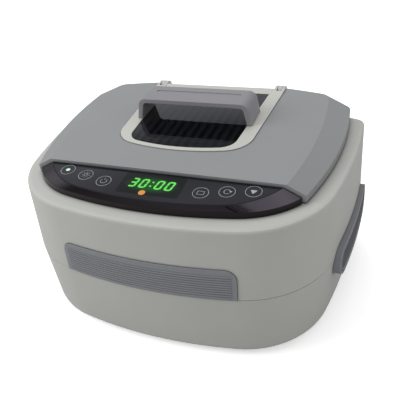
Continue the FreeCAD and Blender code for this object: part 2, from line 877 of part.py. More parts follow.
def grip_slab_outline(owner, name, height, out):
    """A slab as long as the side grip, with a bowed outer side."""
    drawing = sketch(owner, name, height=height)
    near, far = s.grip_y - s.grip_length, s.grip_y + s.grip_length
    r = s.grip_bow_radius.value
    centre = Vector(out.value - r, s.grip_bow_y.value, 0)
    ends = [centre + Vector(math.sqrt(r ** 2 - (y.value - centre.y) ** 2), y.value - centre.y, 0)
            for y in (near, far)]
    back = [Vector(grip_back.value / 2, y.value, 0) for y in (far, near)]
    drawing.addGeometry([arc(centre, r, *ends), Part.LineSegment(ends[1], back[0]), Part.LineSegment(*back),
                         Part.LineSegment(back[1], ends[0])])
    join(drawing, [False] * 4)
    radius(drawing, 0, s.grip_bow_radius)
    place(drawing, 0, 3, out - s.grip_bow_radius, s.grip_bow_y)
    place(drawing, 2, 1, grip_back / 2, far)
    place(drawing, 2, 2, grip_back / 2, near)
    drawing.addConstraint([Sketcher.Constraint("Horizontal", 1), Sketcher.Constraint("Horizontal", 3)])
    return drawing


def grip_slab(name, sink=0):
    """All that lies inside the side grip's outer face, or inside that face sunk by some depth."""
    owner = body(name)
    out = s.seam_half_width + s.grip_proud - sink
    low = grip_slab_outline(owner, f"{name}_low", s.grip_z - s.grip_height, out + s.grip_lean)
    high = grip_slab_outline(owner, f"{name}_high", s.grip_z + s.grip_height, out - s.grip_lean)
    loft(owner, f"{name}_run", low, high)
    return owner


def badge_prism(name, gap, bottom):
    """The badge's outline, run inwards through the front wall."""
    owner = body(name)
    start = s.seam_front + 2 * s.badge_proud
    side, top = s.badge_half_width + gap, s.badge_top + gap
    outline = polygon(owner, f"{name}_outline", "XZ", start,
                      [(-side, bottom), (side, bottom), (side, top), (-side, top)])
    pad(owner, f"{name}_run", outline, s.seam_front / 4, back=True)
    round_edges(owner, f"{name}_corners", lambda e: corner_at(e, top), s.badge_corner)
    return owner


grip_cutter = grip_prism("grip_cutter", s.grip_gap, grip_back - s.grip_gap)
grip_cutter_left = mirrored("grip_cutter_left", grip_cutter)
inner_skin = casing_skin("badge_back_skin", s.badge_proud - s.badge_thickness - s.badge_gap)
badge_cutter = badge_prism("badge_cutter", s.badge_gap, upper_bottom - s.seam_gap)
badge_pocket = combine("Cut", "badge_pocket", badge_cutter, inner_skin)


# ---------------------------------------------------------------- base shell

def make_base_shell():
    shell = body("base_shell_moulding")
    lower_form(shell, "outer", as_size(0), base_bottom, s.base_edge)
    lower_form(shell, "inner", -s.casing_wall, floor_top, cut=True)
    posts = circles(shell, "boss_outline", "XY", floor_top, boss_spots, s.boss_radius)
    pad(shell, "bosses", posts, s.seam_height - floor_top)
    holes = circles(shell, "boss_hole_outline", "XY", base_bottom, boss_spots, s.boss_bore)
    pocket(shell, "boss_holes", holes, s.seam_height - base_bottom, back=True)
    for i, sign in enumerate((-1, 1)):
        x = s.driver_x + sign * (s.driver_length / 2 - 2 * s.standoff_radius)
        for j, side in enumerate((-1, 1)):
            y = side * (s.driver_depth / 2 - 1.5 * s.standoff_radius) - s.driver_y
            rod(shell, f"standoff_{i}{j}", (x, y, floor_top), s.standoff_radius, s.standoff_height)
    fan_slots, floor_slots = [], []
    for i in range(VENT_SLOTS):
        share = (i - (VENT_SLOTS - 1) / 2) / VENT_SLOTS * 2
        reach = s.fan_bore * math.sqrt(1 - share ** 2)
        middle = s.fan_x + s.fan_bore * share
        fan_slots.append((middle - s.vent_half_width, middle + s.vent_half_width,
                          -s.fan_y - reach, -s.fan_y + reach))
        middle = (i - (VENT_SLOTS - 1) / 2) * 1.5 * s.slot_pitch
        floor_slots.append((middle - s.floor_slot_half_width, middle + s.floor_slot_half_width,
                            s.tank_y - s.tank_half_width / 2, s.tank_y + s.tank_half_width / 2))
    holes = circles(shell, "fan_screw_hole_outline", "XY", floor_top, fan_screw_spots, screw_bore)
    pocket(shell, "fan_screw_holes", holes, s.casing_wall * 0.6)
    vents = rectangles(shell, "vent_outline", "XY", floor_top, fan_slots + floor_slots)
    pocket(shell, "vents", vents, s.casing_wall)
    for name, grow, half_width, half_height, near, far in (
            ("inlet_pad", s.inlet_pad_rim, s.inlet_flange_half_width, s.inlet_flange_half_height,
             recess_y - s.casing_wall, s.casing_back - s.casing_wall / 2),
            ("inlet_recess", s.inlet_gap, s.inlet_flange_half_width, s.inlet_flange_half_height,
             recess_y, s.casing_back + s.casing_wall),
            ("inlet_hole", s.inlet_gap, s.inlet_body_half_width, s.inlet_body_half_height,
             recess_y - 2 * s.casing_wall, s.casing_back)):
        block(shell, name, (-half_width - grow, half_width + grow), (near, far),
              (s.inlet_z - half_height - grow, s.inlet_z + half_height + grow), cut=name != "inlet_pad")
    for side, name in CORNERS:
        rod(shell, f"inlet_screw_hole_{name}",
            (side * s.inlet_screw_x, recess_y - 2 * s.casing_wall, s.inlet_z),
            s.inlet_screw_radius + 2 * s.bolt_gap, 3 * s.casing_wall, axis="Y", cut=True)
    half_cut = combine("Cut", "base_shell_half", shell, grip_cutter)
    return combine("Cut", "base_shell", half_cut, grip_cutter_left)


node(make_base_shell())


# ---------------------------------------------------------------- upper shell

def make_upper_shell():
    shell = body("upper_shell_moulding")
    upper_form(shell, "outer", as_size(0), upper_bottom, s.rim_height, s.rim_edge)
    upper_form(shell, "inner", -s.casing_wall, upper_bottom, ledge_under, cut=True)
    gap = s.tank_wall + s.tank_gap
    mouth = rounded_rectangle(shell, "tank_mouth_outline", s.rim_height, -s.tank_half_length - gap,
                              s.tank_half_length + gap, s.tank_y - s.tank_half_width - gap,
                              s.tank_y + s.tank_half_width + gap, s.tank_corner + gap)
    pocket(shell, "tank_mouth", mouth, s.casing_wall)
    posts = circles(shell, "boss_outline", "XY", upper_bottom, boss_spots, s.boss_radius)
    pad(shell, "bosses", posts, ledge_under - upper_bottom)
    holes = circles(shell, "boss_hole_outline", "XY", upper_bottom, boss_spots, s.boss_bore * 0.8)
    pocket(shell, "boss_holes", holes, 4 * s.boss_radius, back=True)
    for side, name in CORNERS:
        start = (side * ear_x - s.ear_width / 2, s.hinge_y, s.hinge_z)
        block(shell, f"hinge_stem_{name}", (start[0], start[0] + s.ear_width),
              (s.hinge_y - s.ear_stem / 2, s.hinge_y + s.ear_stem / 2), (ledge_under, s.hinge_z))
        rod(shell, f"hinge_barrel_{name}", start, s.hinge_radius, s.ear_width, axis="X")
        rod(shell, f"hinge_bore_{name}", start, s.pin_radius + s.pin_gap, s.ear_width, axis="X", cut=True)
    for side, name in CORNERS:
        spot = (side * s.lens_half_width / 2, -s.panel_back - 2 * s.casing_wall, ledge_under)
        rod(shell, f"board_post_{name}", spot, s.standoff_radius, control_board_bottom - ledge_under)
    rod(shell, "cable_hole", (0, -cable_y, ledge_under), s.standoff_radius, s.casing_wall, cut=True)
    half_cut = combine("Cut", "upper_shell_half", shell, grip_cutter)
    both_cut = combine("Cut", "upper_shell_plain", half_cut, grip_cutter_left)
    return combine("Cut", "upper_shell", both_cut, badge_pocket)


node(make_upper_shell())


# ---------------------------------------------------------------- badge and grips

badge_outer = combine("Common", "badge_blank", badge_prism("badge_prism", as_size(0), upper_bottom),
                      casing_skin("badge_face_skin", s.badge_proud))
badge_seat = casing_skin("badge_seat_skin", s.badge_proud - s.badge_thickness)
node(combine("Cut", "front_badge", badge_outer, badge_seat))


def make_grip():
    """A cup with a rim that stands proud of the side wall, with a groove round the rim."""
    prism = grip_prism("grip_prism", as_size(0), grip_back)
    blank = combine("Common", "grip_blank", prism, grip_slab("grip_face"))
    pocket_body = body("grip_pocket")
    outline = stadium(pocket_body, "pocket_outline", grip_back + s.grip_wall, s.grip_y, s.grip_z,
                      s.grip_length - 2 * s.grip_rim, s.grip_height - 2 * s.grip_rim, plane="YZ")
    pad(pocket_body, "pocket_run", outline, 2 * s.grip_inset)
    cup = combine("Cut", "grip_cup", blank, pocket_body)
    ring = body("grip_groove_ring")
    for kind, name, inset in ((pad, "groove_outer", s.grip_groove_inset),
                              (pocket, "groove_inner", s.grip_groove_inset + s.grip_groove_width)):
        outline = stadium(ring, f"{name}_outline", grip_back, s.grip_y, s.grip_z, s.grip_length - 2 * inset,
                          s.grip_height - 2 * inset, plane="YZ")
        kind(ring, name, outline, 2 * s.grip_inset, back=kind is pocket)
    groove = combine("Cut", "grip_groove", ring, grip_slab("grip_groove_floor", s.grip_groove_depth))
    return combine("Cut", "side_grip_right", cup, groove)


grip_right = node(make_grip())
node(mirrored("side_grip_left", grip_right))


# ---------------------------------------------------------------- control panel

def lens_outline(owner, name, height, inset=0):
    return panel_outline(owner, name, height, s.lens_half_width, s.lens_front, s.panel_back, s.lens_radius,
                         s.lens_corner, tilt=s.lens_tilt, inset=inset)


# The lens plane passes through the bezel's back edge at lens_back_z
lens_zero = lens_back_z + s.panel_back * math.tan(math.radians(s.lens_tilt.value))


def make_bezel():
    bezel = body("control_bezel")
    args = (s.panel_half_width, s.panel_front, s.panel_back, s.panel_radius, s.panel_corner)
    foot = panel_outline(bezel, "foot", s.rim_height, *args)
    wall = panel_outline(bezel, "wall_top", s.rim_height + s.panel_wall, *args)
    loft(bezel, "wall", foot, wall)
    wall_again = panel_outline(bezel, "band_foot", s.rim_height + s.panel_wall, *args)
    loft(bezel, "band", wall_again, lens_outline(bezel, "band_top", lens_zero, inset=-s.lens_gap * 3))
    seat = lens_outline(bezel, "seat", lens_zero, inset=-s.lens_gap)
    pocket(bezel, "lens_seat", seat, s.lens_thickness)
    opening = lens_outline(bezel, "opening_outline", lens_zero, inset=s.lens_lip)
    pocket(bezel, "opening", opening, 3 * s.lens_lift)
    return bezel


node(make_bezel())

lens = node(body("control_lens"))
pad(lens, "plate", lens_outline(lens, "plate_outline", lens_zero), s.lens_thickness, back=True)

board = node(body("control_board"))
laminate = panel_outline(board, "laminate_outline", control_board_bottom, s.lens_half_width, s.lens_front,
                         s.panel_back, s.lens_radius, s.lens_corner, inset=s.board_inset)
pad(board, "laminate", laminate, s.board_thickness)

display = node(body("display_module"))
block(display, "case", (-s.display_length / 2, s.display_length / 2),
      (-s.display_y - s.display_depth / 2, -s.display_y + s.display_depth / 2),
      (display_bottom, lens_back_z - s.lens_thickness - s.display_gap))


# ---------------------------------------------------------------- lid

def skirt_outline(owner, name, height, inset=0):
    return lid_outline(owner, name, height, s.lid_half_width, s.lid_side_radius, s.lid_side_centre_y,
                       s.lid_front, s.lid_back, inset)


def top_outline(owner, name, height, front_inset=0, inset=0):
    return lid_outline(owner, name, height, s.lid_top_half_width - inset, s.lid_top_side_radius,
                       s.lid_top_side_centre_y, s.lid_front - front_inset, s.lid_top_back - inset)


def frame_outline(owner, name, height, grow=0, back=None):
    return window_outline(owner, name, height, s.frame_half_width, s.frame_back_half_width, s.frame_front,
                          back or s.frame_back + grow, s.frame_front_radius, s.frame_corner, grow)


def glass_outline(owner, name, height, grow=0):
    return window_outline(owner, name, height, s.window_half_width, s.window_back_half_width, s.window_front,
                          s.window_back + grow, s.window_front_radius, s.window_corner, grow)


hinge_notch_y = s.hinge_y - s.hinge_radius - 2 * s.hinge_gap


def cut_hinge_room(owner, gap):
    """Room at the back for the frame's valance and hinge barrels."""
    half = s.frame_back_half_width + gap
    block(owner, "hinge_room", (-half, half), (hinge_notch_y, s.casing_back + s.hinge_radius),
          (s.rim_height, frame_top + s.hinge_radius), cut=True)


def make_cover():
    cover = body("lid_cover")
    loft(cover, "skirt", skirt_outline(cover, "skirt_low", lid_bottom),
         skirt_outline(cover, "skirt_high", skirt_top))
    loft(cover, "crown", skirt_outline(cover, "crown_low", skirt_top),
         top_outline(cover, "crown_high", lid_top))
    inner_wall_top = skirt_top - 0.7 * s.lid_wall
    wall = s.lid_wall
    loft(cover, "skirt_room", skirt_outline(cover, "room_low", lid_bottom, wall),
         skirt_outline(cover, "room_high", inner_wall_top, wall), cut=True)
    loft(cover, "crown_room", skirt_outline(cover, "crown_room_low", inner_wall_top, wall),
         top_outline(cover, "crown_room_high", frame_bottom, wall, 0.2 * wall), cut=True)
    cut_hinge_room(cover, s.hinge_gap)
    opening = frame_outline(cover, "opening_outline", lid_top, s.frame_gap)
    pocket(cover, "opening", opening, 2 * s.lid_wall)
    for row, y in (("front", -s.liner_screw_front), ("rear", s.liner_screw_rear)):
        spots = [spot for spot in liner_screw_spots if spot[1].value == y.value]
        posts = circles(cover, f"{row}_post_outline", "XY", liner_top, spots, s.standoff_radius)
        pad(cover, f"{row}_posts", posts, frame_bottom.at(y) + s.lid_wall / 4 - liner_top)
    bores = circles(cover, "post_bore_outline", "XY", liner_top, liner_screw_spots, screw_bore)
    pocket(cover, "post_bores", bores, s.screw_length, back=True)
    return cover


node(make_cover())


def handle_seats(owner, name, height, gap=0):
    """Where the handle's legs stand on the frame, past the window's edge."""
    inner, outer = s.handle_half_width - s.handle_thickness - gap, s.window_back_half_width
    near, far = s.handle_front - gap, s.handle_back + gap
    return rectangles(owner, name, "XY", height, [(inner, outer, near, far), (-outer, -inner, near, far)])


def make_frame():
    """Light frame: a raised rim, a flange under the cover, two handle seats and two hinge arms."""
    frame = body("lid_frame")
    pad(frame, "rim", frame_outline(frame, "rim_outline", frame_bottom), s.lid_wall + s.frame_proud)
    block(frame, "valance", (-ear_x, ear_x), (s.frame_back - s.lid_wall, s.frame_back),
          (lid_bottom, frame_bottom.at(s.frame_back)))
    cut_through(frame, "window_seat", glass_outline(frame, "seat_outline", frame_top, s.window_gap),
                s.lid_wall + s.frame_proud)
    pad(frame, "handle_seats", handle_seats(frame, "seats_outline", frame_bottom), s.lid_wall + s.frame_proud)
    flange = frame_outline(frame, "flange_outline", frame_bottom, s.frame_flange,
                           s.window_back + s.window_lip / 2)
    pad(frame, "flange", flange, s.flange_thickness, back=True)
    cut_through(frame, "window_hole", glass_outline(frame, "hole_outline", frame_top, -s.window_lip),
                s.lid_height)
    arm_bottom, arm_top = frame_bottom.at(s.arm_start_y), frame_top.at(s.arm_start_y)
    barrel_top = s.hinge_z + s.hinge_radius
    for side, name in CORNERS:
        start = (side * ear_x - hinge_width / 2, s.hinge_y, s.hinge_z)
        arm = polygon(frame, f"arm_{name}_outline", "YZ", start[0],
                      [(s.arm_start_y, arm_bottom), (s.hinge_y, arm_bottom), (s.hinge_y, barrel_top),
                       (s.hinge_y - s.hinge_radius / 3, barrel_top - s.arm_round), (s.arm_start_y, arm_top)])
        pad(frame, f"arm_{name}", arm, hinge_width)
        rod(frame, f"barrel_{name}", start, s.hinge_radius, hinge_width, axis="X")
        x = side * ear_x - s.ear_width / 2 - s.hinge_gap
        block(frame, f"ear_slot_{name}", (x, x + s.ear_width + 2 * s.hinge_gap),
              (hinge_notch_y - s.hinge_gap, s.casing_back + s.hinge_radius),
              (s.rim_height, barrel_top + s.hinge_gap), cut=True)
        rod(frame, f"pin_bore_{name}", start, s.pin_radius + s.pin_gap, hinge_width, axis="X", cut=True)
    holes = circles(frame, "handle_hole_outline", "XY", frame_top, handle_screw_spots, screw_bore)
    cut_through(frame, "handle_holes", holes, 2 * s.lid_wall + s.frame_proud)
    return frame


node(make_frame())

window = node(body("lid_window"))
pad(window, "plate", glass_outline(window, "plate_outline", frame_bottom), s.window_thickness)
notches = handle_seats(window, "notch_outline", frame_bottom + s.window_thickness, s.window_gap)
cut_through(window, "handle_notches", notches, 2 * s.window_thickness)


def make_handle():
    """A wide strap bent over the window, standing on the frame at each side."""
    handle = body("lid_handle")
    t = s.handle_thickness
    foot, top, foot_z = s.handle_half_width, s.handle_top_half_width, frame_top.at(s.handle_front)
    outline = polygon(handle, "strap_outline", "XZ", -s.handle_back,
                      [(-foot, foot_z), (-top, handle_top), (top, handle_top), (foot, foot_z),
                       (foot - t, foot_z), (top - t, handle_top - t), (t - top, handle_top - t),
                       (t - foot, foot_z)])
    pad(handle, "strap", outline, s.handle_back - s.handle_front)
    round_edges(handle, "outer_bends", lambda e: corner_at(e, handle_top), s.handle_corner)
    round_edges(handle, "inner_bends", lambda e: corner_at(e, handle_top - t), s.handle_corner - t)
    groove = stadium(handle, "groove_outline", handle_top, 0, s.handle_back - 2.5 * t, 1.6 * top, t)
    pocket(handle, "groove", groove, s.handle_groove)
    ground = rectangles(handle, "foot_cut_outline", "XY", frame_top,
                        [(-2 * foot, 2 * foot, s.handle_front / 2, 2 * s.handle_back)])
    pocket(handle, "foot_cut", ground, s.handle_height)
    bores = circles(handle, "screw_bore_outline", "XY", frame_top, handle_screw_spots, screw_bore)
    pocket(handle, "screw_bores", bores, s.screw_length, back=True)
    return handle


node(make_handle())

handle_screws = node(body("handle_screws"))
heads = circles(handle_screws, "head_outline", "XY", flange_bottom, handle_head_spots, s.screw_head_radius)
pad(handle_screws, "heads", heads, s.screw_head, back=True)
shanks = circles(handle_screws, "shank_outline", "XY", flange_bottom, handle_head_spots, s.screw_radius)
pad(handle_screws, "shanks", shanks, frame_top - flange_bottom + s.screw_length * 0.9)


def make_liner():
    """The lid's inner tray, open in the middle below the window."""
    liner = body("lid_liner")
    inset = s.lid_wall + s.liner_gap
    pad(liner, "plate", skirt_outline(liner, "plate_outline", liner_bottom, inset), s.liner_plate)
    loft(liner, "well", glass_outline(liner, "well_low", liner_bottom, -s.window_lip),
         glass_outline(liner, "well_high", flange_bottom, -s.window_lip))
    loft(liner, "well_hole", glass_outline(liner, "hole_low", liner_bottom, -s.window_lip - s.liner_plate),
         glass_outline(liner, "hole_high", flange_bottom, -s.window_lip - s.liner_plate), cut=True)
    cut_hinge_room(liner, s.hinge_gap + s.liner_gap)
    holes = circles(liner, "screw_hole_outline", "XY", liner_top, liner_screw_spots, screw_bore)
    pocket(liner, "screw_holes", holes, s.liner_plate)
    sinks = circles(liner, "screw_sink_outline", "XY", liner_bottom, liner_screw_spots,
                    s.screw_head_radius + s.bolt_gap)
    pocket(liner, "screw_sinks", sinks, s.screw_head, back=True)
    holes = circles(liner, "bumper_hole_outline", "XY", liner_top, bumper_spots, s.bumper_stem + s.bolt_gap)
    pocket(liner, "bumper_holes", holes, s.liner_plate)
    return liner


node(make_liner())

liner_screws = node(body("liner_screws"))
pad(liner_screws, "heads", circles(liner_screws, "head_outline", "XY", liner_bottom, liner_screw_spots,
                                   s.screw_head_radius), s.screw_head)
shanks = circles(liner_screws, "shank_outline", "XY", liner_bottom + s.screw_head, liner_screw_spots,
                 s.screw_radius)
pad(liner_screws, "shanks", shanks, s.liner_plate - s.screw_head + s.screw_length * 0.9)

bumpers = node(body("lid_bumpers"))
pad(bumpers, "pads", circles(bumpers, "pad_outline", "XY", liner_bottom, bumper_spots, s.bumper_radius),
    s.bumper_height, back=True)
pad(bumpers, "stems", circles(bumpers, "stem_outline", "XY", liner_bottom, bumper_spots, s.bumper_stem),
    s.liner_plate)
pad(bumpers, "barbs", circles(bumpers, "barb_outline", "XY", liner_top, bumper_spots,
                              s.bumper_stem + s.bumper_barb), s.bumper_barb_height)


# ---------------------------------------------------------------- hinge pins

for side, name in CORNERS:
    pin = node(body(f"hinge_pin_{name}"))
    start = (side * ear_x - hinge_width / 2, s.hinge_y, s.hinge_z)
    rod(pin, "shaft", start, s.pin_radius, hinge_width, axis="X")


# ---------------------------------------------------------------- tank, gasket and basket

def tank_outline(owner, name, height, grow):
    return rounded_rectangle(owner, name, height, -s.tank_half_length - grow, s.tank_half_length + grow,
                             s.tank_y - s.tank_half_width - grow, s.tank_y + s.tank_half_width + grow,
                             s.tank_corner + grow)


def make_tank():
    """Deep-drawn: the inner form is cut from the outer one, which is a wall larger."""
    tank = body("tank")
    bowl = tank_outline(tank, "bowl_outline", flange_top, s.tank_wall)
    pad(tank, "bowl", bowl, s.tank_depth + s.tank_wall, back=True)
    round_edges(tank, "bowl_edge", lambda e: level(e, tank_under), s.tank_floor_radius + s.tank_wall)
    flange = tank_outline(tank, "flange_outline", flange_under, s.tank_wall + s.tank_flange)
    pad(tank, "flange", flange, s.tank_wall)
    room = body("tank_room")
    pad(room, "room", tank_outline(room, "room_outline", flange_top, as_size(0)), s.tank_depth, back=True)
    round_edges(room, "room_edge", lambda e: level(e, tank_floor), s.tank_floor_radius)
    tank.Label = "tank_blank"
    return combine("Cut", "tank", tank, room)


node(make_tank())

gasket = node(body("tank_gasket"))
band = tank_outline(gasket, "band_outline", s.rim_height, s.tank_wall + s.tank_flange - s.gasket_inset)
pad(gasket, "band", band, s.gasket_thickness)
hole = tank_outline(gasket, "hole_outline", s.rim_height, s.tank_wall + s.tank_gap + s.gasket_inset)
pocket(gasket, "hole", hole, s.gasket_thickness, back=True)


def basket_outline(owner, name, height, grow=0):
    return rounded_rectangle(owner, name, height, -s.basket_half_length - grow, s.basket_half_length + grow,
                             s.tank_y - s.basket_half_width - grow, s.tank_y + s.basket_half_width + grow,
                             s.basket_corner + grow)


def slot_row(owner, name, profile, length, count, pitch):
    """One slot cut and repeated along the sketch's level axis."""
    first = pocket(owner, name, profile, length)
    row_of_slots = owner.newObject("PartDesign::LinearPattern", f"{name}_row")
    row_of_slots.Originals = [first]
    row_of_slots.Direction = (profile, ["H_Axis"])
    row_of_slots.Occurrences = count
    bind(row_of_slots, "Length", (count - 1) * pitch)
    before = volume_of(owner)
    owner.Tip = row_of_slots
    recompute_and_check(owner, name, before, False)


def make_basket():
    basket = body("basket")
    bottom = tank_floor + s.basket_foot
    top = bottom + s.basket_height
    pad(basket, "bin", basket_outline(basket, "bin_outline", bottom), s.basket_height)
    rim = basket_outline(basket, "rim_outline", top - s.basket_wall, s.basket_rim)
    pad(basket, "rim", rim, s.basket_wall)
    room = basket_outline(basket, "room_outline", top, -s.basket_wall)
    pocket(basket, "bin_room", room, s.basket_height - s.basket_wall)
    foot_x, foot_y = s.basket_half_length - s.basket_corner, s.basket_half_width - s.basket_corner
    spots = [(a * foot_x, s.tank_y + b * foot_y) for a in (-1, 1) for b in (-1, 1)]
    feet = circles(basket, "feet_outline", "XY", bottom, spots, s.standoff_radius)
    pad(basket, "feet", feet, s.basket_foot, back=True)
    count = int(2 * (s.basket_half_length.value - s.basket_corner.value) / s.slot_pitch.value) + 1
    first_x = -(count - 1) / 2 * s.slot_pitch
    near = s.tank_y - s.basket_half_width + s.basket_corner
    far = s.tank_y + s.basket_half_width - s.basket_corner
    floor_slot = polygon(basket, "floor_slot_outline", "XY", bottom + s.basket_wall,
                         [(first_x - s.slot_width / 2, near), (first_x + s.slot_width / 2, near),
                          (first_x + s.slot_width / 2, far), (first_x - s.slot_width / 2, far)])
    slot_row(basket, "floor_slots", floor_slot, s.basket_wall, count, s.slot_pitch)
    low, high = bottom + s.basket_wall + s.slot_floor_margin, top - s.basket_wall - s.slot_rim_margin
    wall_slot = polygon(basket, "wall_slot_outline", "XZ", s.basket_half_width - s.tank_y + 1,
                        [(first_x - s.slot_width / 2, low), (first_x + s.slot_width / 2, low),
                         (first_x + s.slot_width / 2, high), (first_x - s.slot_width / 2, high)])
    slot_row(basket, "wall_slots", wall_slot, 2 * s.basket_half_width + 2, count, s.slot_pitch)
    return basket


node(make_basket())


# ---------------------------------------------------------------- transducers, heater, thermostat

def for_each_transducer(make):
    return [make(side * s.transducer_x, name) for side, name in CORNERS]


piezo_top = tank_under - s.horn_height
mass_top = piezo_top - 2 * s.piezo_thickness
mass_bottom = mass_top - s.back_mass_height


def make_horn(x, name):
    horn = body(f"horn_{name}")
    rod(horn, "cone", (x, s.tank_y, piezo_top), s.stack_radius, s.horn_height, end_size=s.horn_radius)
    rod(horn, "thread", (x, s.tank_y, piezo_top), s.bolt_radius + s.bolt_gap, s.horn_height * 0.7, cut=True)
    return horn


def make_washer(label, x, bottom, height):
    washer = body(label)
    rod(washer, "disc", (x, s.tank_y, bottom), s.stack_radius, height)
    rod(washer, "bore", (x, s.tank_y, bottom), s.bolt_radius + s.bolt_gap, height, cut=True)
    return washer


def make_bolt(x, name):
    bolt = body(f"stack_bolt_{name}")
    rod(bolt, "head", (x, s.tank_y, mass_bottom - s.bolt_head_height), s.bolt_head_radius, s.bolt_head_height)
    rod(bolt, "shank", (x, s.tank_y, mass_bottom), s.bolt_radius,
        s.back_mass_height + 2 * s.piezo_thickness + s.horn_height * 0.6)
    return bolt


node(group("transducer_horns", for_each_transducer(make_horn)))
piezo_rings = [make_washer(f"piezo_{name}_{i}", side * s.transducer_x, piezo_top - i * s.piezo_thickness,
                           s.piezo_thickness) for i in (1, 2) for side, name in CORNERS]
node(group("piezo_rings", piezo_rings))
node(group("transducer_back_masses", for_each_transducer(
    lambda x, name: make_washer(f"back_mass_{name}", x, mass_bottom, s.back_mass_height))))
node(group("transducer_bolts", for_each_transducer(make_bolt)))

heater = node(body("heater_mat"))
tank_rear = s.tank_y + s.tank_half_width + s.tank_wall
heater_bottom = tank_under + s.tank_floor_radius + s.heater_lift
block(heater, "mat", (-s.heater_half_length, s.heater_half_length),
      (tank_rear, tank_rear + s.heater_thickness), (heater_bottom, heater_bottom + s.heater_height))

thermostat = node(body("thermostat"))
tank_near = s.tank_y - s.tank_half_width - s.tank_wall
can_start = (0, tank_near - s.thermostat_height, tank_under + 2 * s.tank_floor_radius)
rod(thermostat, "can", can_start, s.thermostat_radius, s.thermostat_height, axis="Y")


# ---------------------------------------------------------------- driver board

driver = node(body("driver_board"))
block(driver, "laminate", (s.driver_x - s.driver_length / 2, s.driver_x + s.driver_length / 2),
      (-s.driver_y - s.driver_depth / 2, -s.driver_y + s.driver_depth / 2), (board_bottom, board_top))

sink = node(body("heat_sink"))
sink_x = s.driver_x - s.driver_length / 2 + s.component_gap
sink_y = (-s.driver_y - s.sink_depth / 2, -s.driver_y + s.sink_depth / 2)
block(sink, "fins", (sink_x, sink_x + s.sink_length), sink_y, (board_top, board_top + s.sink_height))
fin_pitch = s.sink_length / SINK_GAPS
for i in range(SINK_GAPS):
    x = sink_x + (i + 0.6) * fin_pitch
    block(sink, f"fin_gap_{i}", (x - fin_pitch / 4, x + fin_pitch / 4), sink_y,
          (board_top + s.sink_base, board_top + s.sink_height), cut=True)

coil = node(body("output_transformer"))
coil_x = sink_x + s.sink_length + s.component_gap
coil_near = -s.driver_y - s.coil_depth / 2
block(coil, "core", (coil_x, coil_x + s.coil_length), (coil_near, coil_near + s.coil_depth),
      (board_top, board_top + s.coil_height))
bobbin_start = (coil_x + s.coil_length / 2, coil_near - s.bobbin_proud, board_top + s.coil_height / 2)
rod(coil, "bobbin", bobbin_start, s.coil_height * 0.38, s.coil_depth + 2 * s.bobbin_proud, axis="Y")

can_spots = [(coil_x + s.coil_length + s.capacitor_radius * (2.4 * i + 2), -s.driver_y) for i in range(2)]
cans = node(body("filter_capacitors"))
can_outline = circles(cans, "can_outline", "XY", board_top, can_spots, s.capacitor_radius)
pad(cans, "cans", can_outline, s.capacitor_height)


# ---------------------------------------------------------------- fan

fan_centre = (s.fan_x, -s.fan_y)
fan_width = (s.fan_x - s.fan_size / 2, s.fan_x + s.fan_size / 2)
fan_reach_y = (-s.fan_y - s.fan_size / 2, -s.fan_y + s.fan_size / 2)
strut_bottom = fan_top - s.fan_lift

fan = node(body("fan_frame"))
block(fan, "case", fan_width, fan_reach_y, (floor_top, fan_top))
rod(fan, "duct", (*fan_centre, floor_top), s.fan_bore, s.fan_depth, cut=True)
block(fan, "strut_x", fan_width, (-s.fan_y - s.strut_half_width, -s.fan_y + s.strut_half_width),
      (strut_bottom, fan_top))
block(fan, "strut_y", (s.fan_x - s.strut_half_width, s.fan_x + s.strut_half_width), fan_reach_y,
      (strut_bottom, fan_top))
rod(fan, "motor_plate", (*fan_centre, strut_bottom), s.hub_radius, s.fan_lift)
rod(fan, "bearing", (*fan_centre, strut_bottom), s.bolt_radius / 2 + s.pin_gap, s.fan_lift, cut=True)
holes = circles(fan, "screw_hole_outline", "XY", fan_top, fan_screw_spots, screw_bore)
pocket(fan, "screw_holes", holes, s.fan_depth)

fan_screws = node(body("fan_screws"))
heads = circles(fan_screws, "head_outline", "XY", fan_top, fan_screw_spots, s.screw_head_radius * 0.9)
pad(fan_screws, "heads", heads, s.screw_head)
shanks = circles(fan_screws, "shank_outline", "XY", fan_top, fan_screw_spots, s.screw_radius)
pad(fan_screws, "shanks", shanks, s.fan_depth + s.casing_wall / 2, back=True)

rotor = node(body("fan_rotor"))
rotor_bottom = floor_top + s.rotor_lift
rotor_top = strut_bottom - s.rotor_gap
rod(rotor, "hub", (*fan_centre, rotor_bottom), s.hub_radius, rotor_top - rotor_bottom)
rod(rotor, "shaft", (*fan_centre, rotor_top), s.bolt_radius / 2, fan_top - rotor_top)
for i in range(BLADES):
    heading = 360 / BLADES * i
    blade = rotor.newObject("PartDesign::AdditiveBox", f"blade_{i}")
    bind(blade, "Length", s.rotor_radius - s.hub_radius / 2)
    bind(blade, "Width", s.blade_thickness)
    bind(blade, "Height", (rotor_top - rotor_bottom) * 0.95)
    turn = FreeCAD.Rotation(Z, heading).multiply(FreeCAD.Rotation(X, 30))
    out = FreeCAD.Rotation(Z, heading).multVec(X)
    blade.Placement = FreeCAD.Placement(Vector(), turn)
    bind(blade, ".Placement.Base.x", s.fan_x + s.hub_radius / 2 * out.x)
    bind(blade, ".Placement.Base.y", -s.fan_y + s.hub_radius / 2 * out.y)
    bind(blade, ".Placement.Base.z", rotor_bottom + s.blade_thickness / 4)
doc.recompute()


# ---------------------------------------------------------------- power inlet

